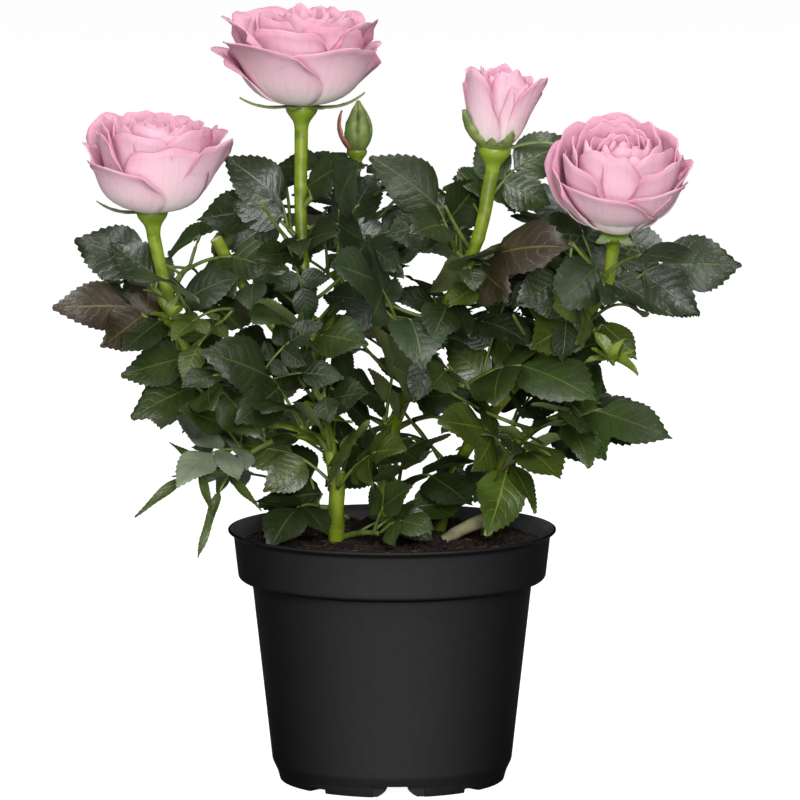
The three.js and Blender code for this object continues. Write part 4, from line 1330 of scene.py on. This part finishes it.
# %% The sprays
def on(limb, place, *tips, tone="deep", rest=None, fill=1):
    """A spray: its limb, where its stem leaves it, and each leaf's tip and size, with its slimness and tone if they
    differ. The first leaf has the tone and the others have the rest. The rule adds some leaves, as many as fill says.
    """
    return dict(limb=limb, place=place, tips=tips, tone=tone, rest=rest or tone, fill=fill)


SPRAYS = {
    "far_right": on("cane_inner", 0.74, (128, 2, 190, 31), (103, -14, 173, 26), (99, 14, 192, 22)),
    "left_top": on("bough_left", 0.72, (-116, -5, 201, 29), (-101, -15, 199, 22)),
    "left_bronze": on("bough_left", 0.6, (-122, -22, 177, 28), (-97, -30, 163, 23), tone="bronze", rest="deep"),
    "left_middle": on("bough_left", 0.48, (-98, -18, 150, 26), (-66, 22, 172, 26), tone="mid"),
    "left_low": on("bough_left", 0.36, (-92, -26, 139, 26), (-47, -34, 132, 26), tone="mid"),
    "left_droop": on(
        "bough_left", 0.1, (-93, -30, 102, 24, 0.45), (-71, -34, 87, 27, 0.4, "olive"), (-78, -38, 117, 20, 1, "pale"),
        tone="olive", rest="mid",
    ),
    "left_heart": on("bough_left", 0.64, (-58, -22, 190, 24), (-86, 8, 160, 24), tone="grey_green_and_sheen"),
    "left_inner": on("cane_front", 0.3, (-64, -42, 164, 31), (-57, -36, 143, 25)),
    "left_fan": on("cane_front", 0.48, (-49, -34, 178, 29), (-12, -32, 166, 24), tone="mid"),
    "left_narrow": on("cane_front", 0.66, (-47, -20, 197, 28, 0.7), (-52, 22, 176, 28)),
    "upper_left": on("cane_front", 0.72, (-60, 6, 229, 26), (-72, 12, 206, 26)),
    "upper_middle": on("cane_front", 0.8, (-16, -8, 229, 24), (-42, 30, 216, 24)),
    "upper_glossy": on("bough_bud", 0.42, (-18, -30, 228, 30), (-6, 22, 222, 26), tone="grey_green_and_sheen"),
    "upper_right": on("cane_middle", 0.7, (-5, -20, 232, 30), (16, 6, 218, 25)),
    "behind_half_open": on("cane_middle", 0.8, (33, 14, 228, 26), (50, 14, 222, 26), tone="mid"),
    "right_behind": on("cane_inner", 0.78, (60, 18, 222, 27), (44, 34, 208, 25)),
    "centre_high": on("cane_middle", 0.6, (65, -38, 205, 35), (18, -40, 203, 29), tone="bronze", rest="deep"),
    "centre": on("cane_middle", 0.5, (-19, -50, 196, 29), (12, -56, 163, 30), tone="grey_green_and_sheen"),
    "right_veined": on("cane_inner", 0.86, (60, -42, 180, 27), tone="grey_green_and_sheen"),
    "right_young": on("cane_inner", 0.66, (90, -14, 158, 18), (50, -30, 163, 28), tone="olive"),
    "lower_centre": on("cane_middle", 0.42, (73, -48, 150, 36), (16, -50, 153, 20), tone="mid"),
    "right_bottom": on("cane_right", 0.8, (102, -18, 129, 29), (88, 16, 148, 25), (72, -34, 122, 22), tone="mid"),
    "low_right": on("cane_right", 0.4, (60, -34, 120, 26), (36, -28, 95, 26, 1, "fresh"), tone="olive"),
    "low_dark": on("cane_middle", 0.16, (28, -20, 106, 27), (8, -24, 124, 24)),
    "inner_dark": on("cane_middle", 0.3, (-14, -8, 148, 28), (22, -12, 166, 26)),
    "inner_yellow": on("cane_inner", 0.36, (24, 4, 146, 24), (56, 22, 166, 26), tone="olive"),
    "low_bright": on("cane_front", 0.18, (-18, -38, 132, 24), (4, -40, 128, 18), tone="olive"),
    "low_left_dark": on("cane_front", 0.14, (-50, 6, 102, 25), (-44, 20, 122, 24)),
    "soil_runner": on("cane_front", 0.03, (14, -34, 98, 16), (6, -28, 112, 18), tone="mid"),
}
BACK_LIMBS = ["cane_inner", "cane_middle", "cane_front", "bough_left", "bough_bud"]
for i in range(10):
    heading = math.radians(8 + 18 * i)
    reach, height = 100 - 12 * (i % 3), 128 + 34 * (i * 2 % 3) + 5 * (i % 2)
    tip = (*on_circle(reach, heading), height, 30)
    place = 0.3 + 0.22 * (i * 2 % 3)
    SPRAYS[f"back_{i + 1}"] = on(BACK_LIMBS[i // 2], place, tip, tone="mid" if i % 2 else "deep", fill=2)
print("sprays:", len(SPRAYS))

# %% Grow the leaves that the solids hold
SWINGS = (0, 0.16, -0.16, 0.32, -0.32, 0.48, -0.48)  # in radians, about the upright


def thin_tube(template, arc, first, last):
    spots = bend(template, lambda t: arc_spot(arc, t), lambda t, angle: first + (last - first) * t)
    stalks.lay(template, spots)
    room.take(spots, STALK_GAP)


def grow_leaf(tree, start, tip, size, slim, draws, tone, vary):
    """Lays the leaf that the solid holds. The part swung a leaf aside where it found no room, so that is tried too."""
    narrow = 0.97 if slim > 0.6 else 0.5
    for swing in SWINGS:
        chord = Matrix.Rotation(swing, 3, "Z") @ (tip - start)
        arc, plan = leaf_plan(start, start + chord, size, slim, draws)
        if corners_found(tree, plan[0]) >= 2:
            break
    else:
        return 0
    thin_tube(stalk_tube, arc, 0.75, 0.5)
    held = [plan[0]] + [leaf for leaf in plan[1:] if corners_found(tree, leaf) >= 2]
    for leaf in held:
        base = arc_spot(arc, leaf["t"])
        numbers = [next(vary) for _ in range(4)]
        spots = leaflet_spots(base, leaf["along"], leaf["normal"], leaf["length"], leaf["width"] * narrow, numbers)
        lay_leaflet(spots, tone)
    return len(held)


grown = {}
for name, spray in SPRAYS.items():
    node_name = "leaves_" + name
    corners = nodes[node_name].data.vertices
    tree = KDTree(len(corners))
    for i, vert in enumerate(corners):
        tree.insert(vert.co, i)
    tree.balance()
    start = limb_spot(spray["limb"], spray["place"])
    x, y, z, size = spray["tips"][0][:4]
    chord = Vector((x, y, z)) - start
    length = max(8, chord.length - 1.75 * size)
    end = start + chord.normalized() * length
    arc = bowed(start, end, 0.1 * length)
    thin_tube(stem_tube, arc, 1.3, 0.9)
    # draw has the part's own seed, so that both rules draw the same numbers. vary is for the blades' own bends
    draw = seeded(len(node_name) * 7919 + ord(node_name[-1]) * 104729)
    vary = seeded(4242 + ord(name[0]) * 31 + len(name) * 17 + ord(name[-1]))
    count = 0
    for i, (x, y, z, size, *more) in enumerate(spray["tips"]):
        draws = [next(draw) for _ in range(4)]
        slim = (more or [1])[0]
        tone = more[1] if len(more) > 1 else spray["rest"] if i else spray["tone"]
        count += grow_leaf(tree, on_stalk(arc, 1 - 0.15 * i), Vector((x, y, z)), size, slim, draws, tone, vary)
    for i in range(spray["fill"]):
        draws = [next(draw) for _ in range(4)]
        foot = on_stalk(arc, 0.8)
        hand = (1 if draws[3] > 0.5 else -1) * (-1 if i % 2 else 1)
        out = Matrix.Rotation(hand * (0.8 + 0.9 * draws[0]), 3, "Z") @ chord.normalized()
        out.z = 0.9 * draws[1] - 0.2
        out.normalize()
        size = 20 + 6 * draws[2]
        count += grow_leaf(tree, foot, foot + out * (1.8 * size), size, 1, draws, spray["rest"], vary)
    grown[name] = count
    spray["arc"] = arc
print("leaflets from the rule:", sum(grown.values()), "least:", min(grown, key=grown.get), min(grown.values()))

# %% [markdown]
# # Where more leaves may grow
# The imported sprays are only the large ones. A living bush has short twigs and smaller leaves all through its crown.
# They may not close the openings through which the photograph shows its white ground, nor reach over the plant's
# outline, nor stand in front of the bare stems and of the leaves that were already listed. These places are
# read off the photograph, so a leaf's points are projected through the same camera.

# %% The picture's open and closed places
PICTURE, CELL = 800, 2  # the picture's side, and that of a cell of the charts, in pixels
FAR = 999.0
VIEW = aim.normalized()
UP = Vector((1, 0, 0)).cross(VIEW)
FOCUS = PICTURE * lens.lens / lens.sensor_width
# The crown's outline, and the openings in it as ellipses with centre and half axes
CROWN = [
    (56, 300), (70, 288), (100, 286), (80, 238), (100, 234), (130, 240), (150, 228), (178, 205), (212, 185),
    (216, 160), (240, 150), (262, 158), (280, 178), (300, 190), (318, 165), (336, 152), (352, 166), (372, 150),
    (402, 158), (436, 186), (452, 174), (478, 160), (528, 168), (560, 190), (585, 236), (612, 262), (640, 262),
    (672, 268), (702, 260), (744, 262), (706, 298), (676, 310), (664, 334), (640, 352), (660, 405), (671, 434),
    (612, 440), (592, 434), (560, 452), (520, 474), (514, 515), (440, 528), (330, 528), (290, 512), (264, 488),
    (284, 468), (262, 468), (240, 492), (200, 492), (183, 474), (190, 440), (150, 424), (140, 398), (130, 370),
    (148, 350), (110, 335), (80, 322), (58, 316),
]
SKY = [
    (415, 214, 23, 9), (438, 273, 18, 11), (500, 231, 15, 21), (540, 333, 7, 17), (401, 362, 7, 5), (463, 347, 5, 9),
    (438, 410, 25, 15), (545, 412, 20, 14), (632, 280, 15, 16), (185, 280, 7, 9), (246, 275, 10, 12), (252, 256, 13, 4),
    (134, 327, 9, 9), (212, 345, 8, 7), (262, 332, 14, 5), (273, 404, 10, 8), (254, 222, 3, 12), (351, 326, 6, 4),
    (417, 482, 22, 19), (459, 445, 12, 14), (463, 491, 5, 9), (528, 460, 14, 8), (365, 482, 10, 20), (306, 445, 8, 10),
]
# Left, right, top and bottom of the places where a bare stem shows, and its depth
BARE = [
    (288, 314, 100, 200, 10), (146, 178, 210, 288, -12), (468, 508, 140, 250, -11), (596, 620, 235, 280, -16),
    (314, 346, 430, 545, 2),
]


def inside(x, y, outline):
    """Which spots lie in an outline: those from which a level line crosses it an odd number of times."""
    found = np.zeros(len(x), bool)
    for (x1, y1), (x2, y2) in zip(outline, outline[1:] + outline[:1]):
        if y1 != y2:
            found ^= ((y1 > y) != (y2 > y)) & (x < x1 + (y - y1) * (x2 - x1) / (y2 - y1))
    return found


cell_x, cell_y = np.meshgrid(np.arange(1, PICTURE, CELL), np.arange(1, PICTURE, CELL))
may_stand = inside(cell_x.ravel(), cell_y.ravel(), CROWN).reshape(cell_x.shape)
for cx, cy, rx, ry in SKY:
    may_stand &= ((cell_x - cx) / rx) ** 2 + ((cell_y - cy) / ry) ** 2 > 1
bare_depth = np.full(cell_x.shape, -FAR)
for left, right, top, bottom, depth in BARE:
    bare_depth[top // CELL : bottom // CELL, left // CELL : right // CELL] = depth
placed_depth, blade_depth = np.full(cell_x.shape, FAR), np.full(cell_x.shape, FAR)
print("cells in which a leaf may stand:", int(may_stand.sum()))

# %% Where a finer leaf may grow
MIDDLE_Y, HALF_DEPTH, LOWEST = 14, 74, 94  # the crown's depth and foot, in millimetres
IN_CROWN = 0.93  # the share of a leaflet that has to stand where the photograph shows leaves


def seen_at(spots):
    """Where the camera shows some spots, in pixels."""
    rays = spots - np.array(camera.location) / MM
    depth = rays @ np.array(VIEW)
    middle = PICTURE / 2
    return middle + FOCUS * rays[:, 0] / depth, middle - FOCUS * (rays @ np.array(UP)) / depth


def cells(spots):
    x, y = seen_at(spots)
    last = PICTURE // CELL - 1
    return np.clip(y / CELL, 0, last).astype(int), np.clip(x / CELL, 0, last).astype(int)


def paint(chart, spots):
    """Notes how near to the camera a leaflet stands in each cell of the picture that it covers."""
    spots = np.vstack([spots, (spots[1:] + spots[:-1]) / 2])
    for i, j, depth in zip(*cells(spots), spots[:, 1]):
        here = chart[i - 1 : i + 2, j - 1 : j + 2]
        np.minimum(here, depth, out=here)


def may_grow(spots, hides):
    """Whether a leaflet may stand there. It may hide no more than a share of the leaves placed before."""
    if spots[:, 2].min() < LOWEST or np.abs(spots[:, 1] - MIDDLE_Y).max() > HALF_DEPTH:
        return False
    place, depth = cells(spots), spots[:, 1]
    if may_stand[place].mean() < IN_CROWN or (depth < bare_depth[place]).any():
        return False
    if (depth < placed_depth[place] - 1).mean() > hides:
        return False
    if any((np.linalg.norm(spots - centre, axis=1) < radius).any() for centre, radius in hearts):
        return False
    return room.is_free(spots)


def open_cells():
    """The cells of the crown that no leaflet covers yet."""
    return may_stand & (blade_depth == FAR)


top_seat = seen_at(np.array([FLOWERS["top"]["seat"]]))
print("the top flower's seat is seen at", [round(float(value[0])) for value in top_seat])

# %% What already stands
# Petals, limbs and the leaves that already stand keep their room, and no leaf enters the heart of a flower
HEARTS = {"bud": 6, "half_open": 11, "top": 22, "left": 22, "right": 22}
hearts = []
for name, flower in FLOWERS.items():
    hearts.append((np.array(flower["heart"] @ Vector((0, 0, 0.8 * HEARTS[name]))), HEARTS[name]))
    petals = bpy.data.objects["petals_" + name].data
    points = np.zeros(3 * len(petals.vertices))
    petals.vertices.foreach_get("co", points)
    room.take(points.reshape(-1, 3)[::6] / MM, PETAL_GAP)
for name in LIMBS:
    for i in range(80):
        t = i / 79
        room.take(np.array([limb_spot(name, t)]), limb_radius(name, t) + LIMB_GAP)
for blade in blades:
    paint(blade_depth, blade)
    if blade[:, 1].mean() < 2:
        paint(placed_depth, blade)
print("points that keep their room:", room.count, "open cells:", int(open_cells().sum()))

# %% [markdown]
# # Finer twigs
# From the nodes of the limbs short twigs set off, each turned on by the golden angle as buds are. Then leaves are grown
# towards the places in the crown that are still empty, each from a bud that is near enough for its stalk. Where a leaf
# finds no room it is left out. Its colour goes by its twig. Leaves scattered through the crown would be quicker to
# make, but they would hang in the air without a stalk.

# %% Grow the finer twigs
twig_tube = tube_template(6, 8)
TWIG_TONES = ["deep", "mid", "deep", "grey_green_and_sheen", "mid", "olive", "deep", "mid"]
GOLDEN_ANGLE, TWIG_STEP = math.radians(137.5), 8
# The share of each limb that bears twigs
BEARING = {
    "cane_front": (0.1, 0.78), "cane_middle": (0.12, 0.76), "cane_inner": (0.12, 0.86), "cane_right": (0.2, 0.98),
    "bough_left": (0.08, 0.74), "bough_bud": (0.12, 0.8),
}
draw = seeded(5150)
buds, bud_tones = [], []


def add_buds(spots, tone):
    buds.extend(spots)
    bud_tones.extend([tone] * len(spots))


heading = 0.6
twigs = 0
for name, (first, last) in BEARING.items():
    count = round((last - first) * limb_length(name) / TWIG_STEP)
    for i in range(count):
        heading += GOLDEN_ANGLE
        foot = limb_spot(name, first + (last - first) * (i + 0.5) / count)
        rise = 0.35 + 0.5 * next(draw)
        way = Vector((math.cos(heading) * math.cos(rise), 0.8 * math.sin(heading) * math.cos(rise), math.sin(rise)))
        reach = 20 + 26 * next(draw)
        arc = bowed(foot, foot + way * reach, -0.08 * reach)
        tone = TWIG_TONES[int(len(TWIG_TONES) * next(draw))]
        add_buds([foot], tone)
        spots = np.array([arc_spot(arc, t) for t in np.linspace(0.25, 1, 8)])
        if may_grow(spots, 1):
            thin_tube(twig_tube, arc, 0.9, 0.6)
            add_buds([Vector(spot) for spot in spots[1:]], tone)
            twigs += 1
for spray in SPRAYS.values():
    add_buds([on_stalk(spray["arc"], t) for t in (0.3, 0.45, 0.6, 0.75, 0.9)], spray["rest"])
bud_spots = np.array(buds)
print("twigs:", twigs, "buds:", len(buds))

# %% Grow leaves in front of the limbs
def grow_towards(goal, size, hides, tries, least=3):
    """Grows a leaf over a goal from a bud that is near enough, and returns the number of its leaflets."""
    gaps = np.linalg.norm(bud_spots - goal, axis=1)
    near = np.nonzero((gaps > 1.2 * size) & (gaps < 2.3 * size))[0]
    for attempt in range(tries if len(near) else 0):
        bud = near[int(len(near) * next(draw))]
        start = Vector(bud_spots[bud])
        tip = Vector(goal) + (Vector(goal) - start).normalized() * (0.5 * size)
        arc, plan = leaf_plan(start, tip, size, 1, [next(draw) for _ in range(4)])
        kept = []
        for leaf in plan:
            vary = [next(draw) for _ in range(4)]
            base = arc_spot(arc, leaf["t"])
            spots = leaflet_spots(base, leaf["along"], leaf["normal"], leaf["length"], leaf["width"] * 0.9, vary)
            if may_grow(spots[on_top], hides):
                kept.append(spots)
            elif leaf is plan[0]:
                break
        if len(kept) >= min(least, len(plan)):
            tone = bud_tones[bud]
            thin_tube(stalk_tube, arc, 0.65, 0.45)
            for spots in kept:
                lay_leaflet(spots, tone)
                paint(blade_depth, spots[on_top])
            return len(kept)
    return 0


# The share of each limb that the photograph hides behind leaves
HIDDEN = {
    "cane_front": (0.3, 0.74), "cane_middle": (0.3, 0.7), "cane_inner": (0.25, 0.86), "cane_right": (0.25, 1),
    "bough_left": (0.12, 0.66), "bough_bud": (0.1, 0.84),
}
hidden = []
for name, (first, last) in HIDDEN.items():
    hidden += [limb_spot(name, place) for place in np.linspace(first, last, 30).tolist()]
hidden += [arc_spot(STUB_ARC, t) for t in np.linspace(0.1, 0.82, 26).tolist()]
hidden += [arc_spot(STUMP_ARC, t) for t in np.linspace(0.2, 0.6, 8).tolist()]
finer = 0
for spot in hidden:
    spot = np.array(spot)
    for attempt in range(14):
        if blade_depth[cells(spot[None, :])][0] < spot[1]:
            break
        goal = spot + [7 * (next(draw) - 0.5), -7 - 28 * next(draw), 7 * (next(draw) - 0.5)]
        finer += grow_towards(goal, 12 + 10 * next(draw), 1, 3, 2)
print("leaflets in front of limbs:", finer)

# %% Grow leaves through the crown
CROWN_WIDTH, CROWN_DEPTH = 122, 66
FRINGE = np.vstack([np.eye(3), -np.eye(3)])
# Largest and smallest leaf, the share of placed leaves that it may hide, and how many goals are tried
ROUNDS = ((26, 18, 0.25, 4000), (20, 12, 0.3, 7000), (15, 10, 0.4, 7000))


def into_depth(i, j, depth):
    """The place in millimetres that a cell of the picture shows at a certain depth."""
    middle = PICTURE // 2
    ray = VIEW + Vector((1, 0, 0)) * ((CELL * j + 1 - middle) / FOCUS) + UP * ((middle - CELL * i - 1) / FOCUS)
    start = camera.location / MM
    return np.array(start + ray * ((depth - start.y) / ray.y))


def within_crown(goal, gap):
    """Whether a goal lies in the round crown and has a gap of clear space on six sides."""
    deep = CROWN_DEPTH * math.sqrt(max(0.05, 1 - (goal[0] / CROWN_WIDTH) ** 2))
    return abs(goal[1] - MIDDLE_Y) < deep and room.is_free(goal + FRINGE * gap)


def some_depth():
    return MIDDLE_Y + CROWN_DEPTH * (2 * next(draw) - 1)


for big, small, hides, goals in ROUNDS:
    rows, columns = np.nonzero(open_cells())
    for i in range(goals):
        pick = int(len(rows) * next(draw))
        goal = into_depth(int(rows[pick]), int(columns[pick]), some_depth())
        if within_crown(goal, 3):
            added = grow_towards(goal, small + (big - small) * next(draw), hides, 3, 2)
            finer += added
            if added:
                rows, columns = np.nonzero(open_cells())
print("finer leaflets:", finer, "open cells left:", int(open_cells().sum()))
for i in range(6000):
    goal = np.array([118 * (2 * next(draw) - 1), some_depth(), 98 + 136 * next(draw)])
    if within_crown(goal, 4):
        finer += grow_towards(goal, 13 + 12 * next(draw), 0.25, 2)
print("finer leaflets in all:", finer)

# %% [markdown]
# # Young shoots
# At three places the photograph shows the tip of a new shoot: a bunch of narrow leaflets, still folded along the
# midrib and fresh yellow-green. They open from one point, so they fan round the tip of a short stem.

# %% Grow the young shoots
def young_shoot(foot, tip, size, count):
    arc = (foot, (foot + tip) / 2 + Vector((0, -2, -2)), tip)
    thin_tube(stem_tube, arc, 1.1, 0.6)
    for i in range(count):
        heading, rise = 2.4 * i + 0.5 * next(draw), 1.2 - 1.5 * i / count
        along = Vector((math.cos(heading) * math.cos(rise), math.sin(heading) * math.cos(rise), math.sin(rise)))
        normal = square_to(Vector((0, -0.4, 1)), along)
        long = size * (0.7 + 0.5 * next(draw))
        vary = [1.3 + 0.4 * next(draw), 1.2 * next(draw), next(draw), 1.5]
        base = arc_spot(arc, 1 - 0.3 * i / count) + along * 0.4
        lay_leaflet(leaflet_spots(base, along, normal, long, long * 0.42, vary), "young")


young_shoot(Vector(SPRAYS["right_young"]["arc"][2]), Vector((80, -21, 155)), 12, 11)
young_shoot(limb_spot("cane_front", 0.3), Vector((-25, -15, 139)), 11, 10)
young_shoot(limb_spot("bough_left", 0.66), Vector((-80, -20, 172)), 11, 8)
print("leaflets in all:", len(blades))

# %% Join the foliage
by_tone = {slot: [] for slot in heaps}
for name, spray in SPRAYS.items():
    slot = spray["tone"] + "_leaves"
    by_tone[slot if slot in by_tone else "leaves"].append("leaves_" + name)
for slot, heap in heaps.items():
    heap.finish("foliage_" + slot, leaf_faces, slot, by_tone[slot], sharp=60)
stalks.finish("leaf_stalks", [stalk_green], "bark", [])
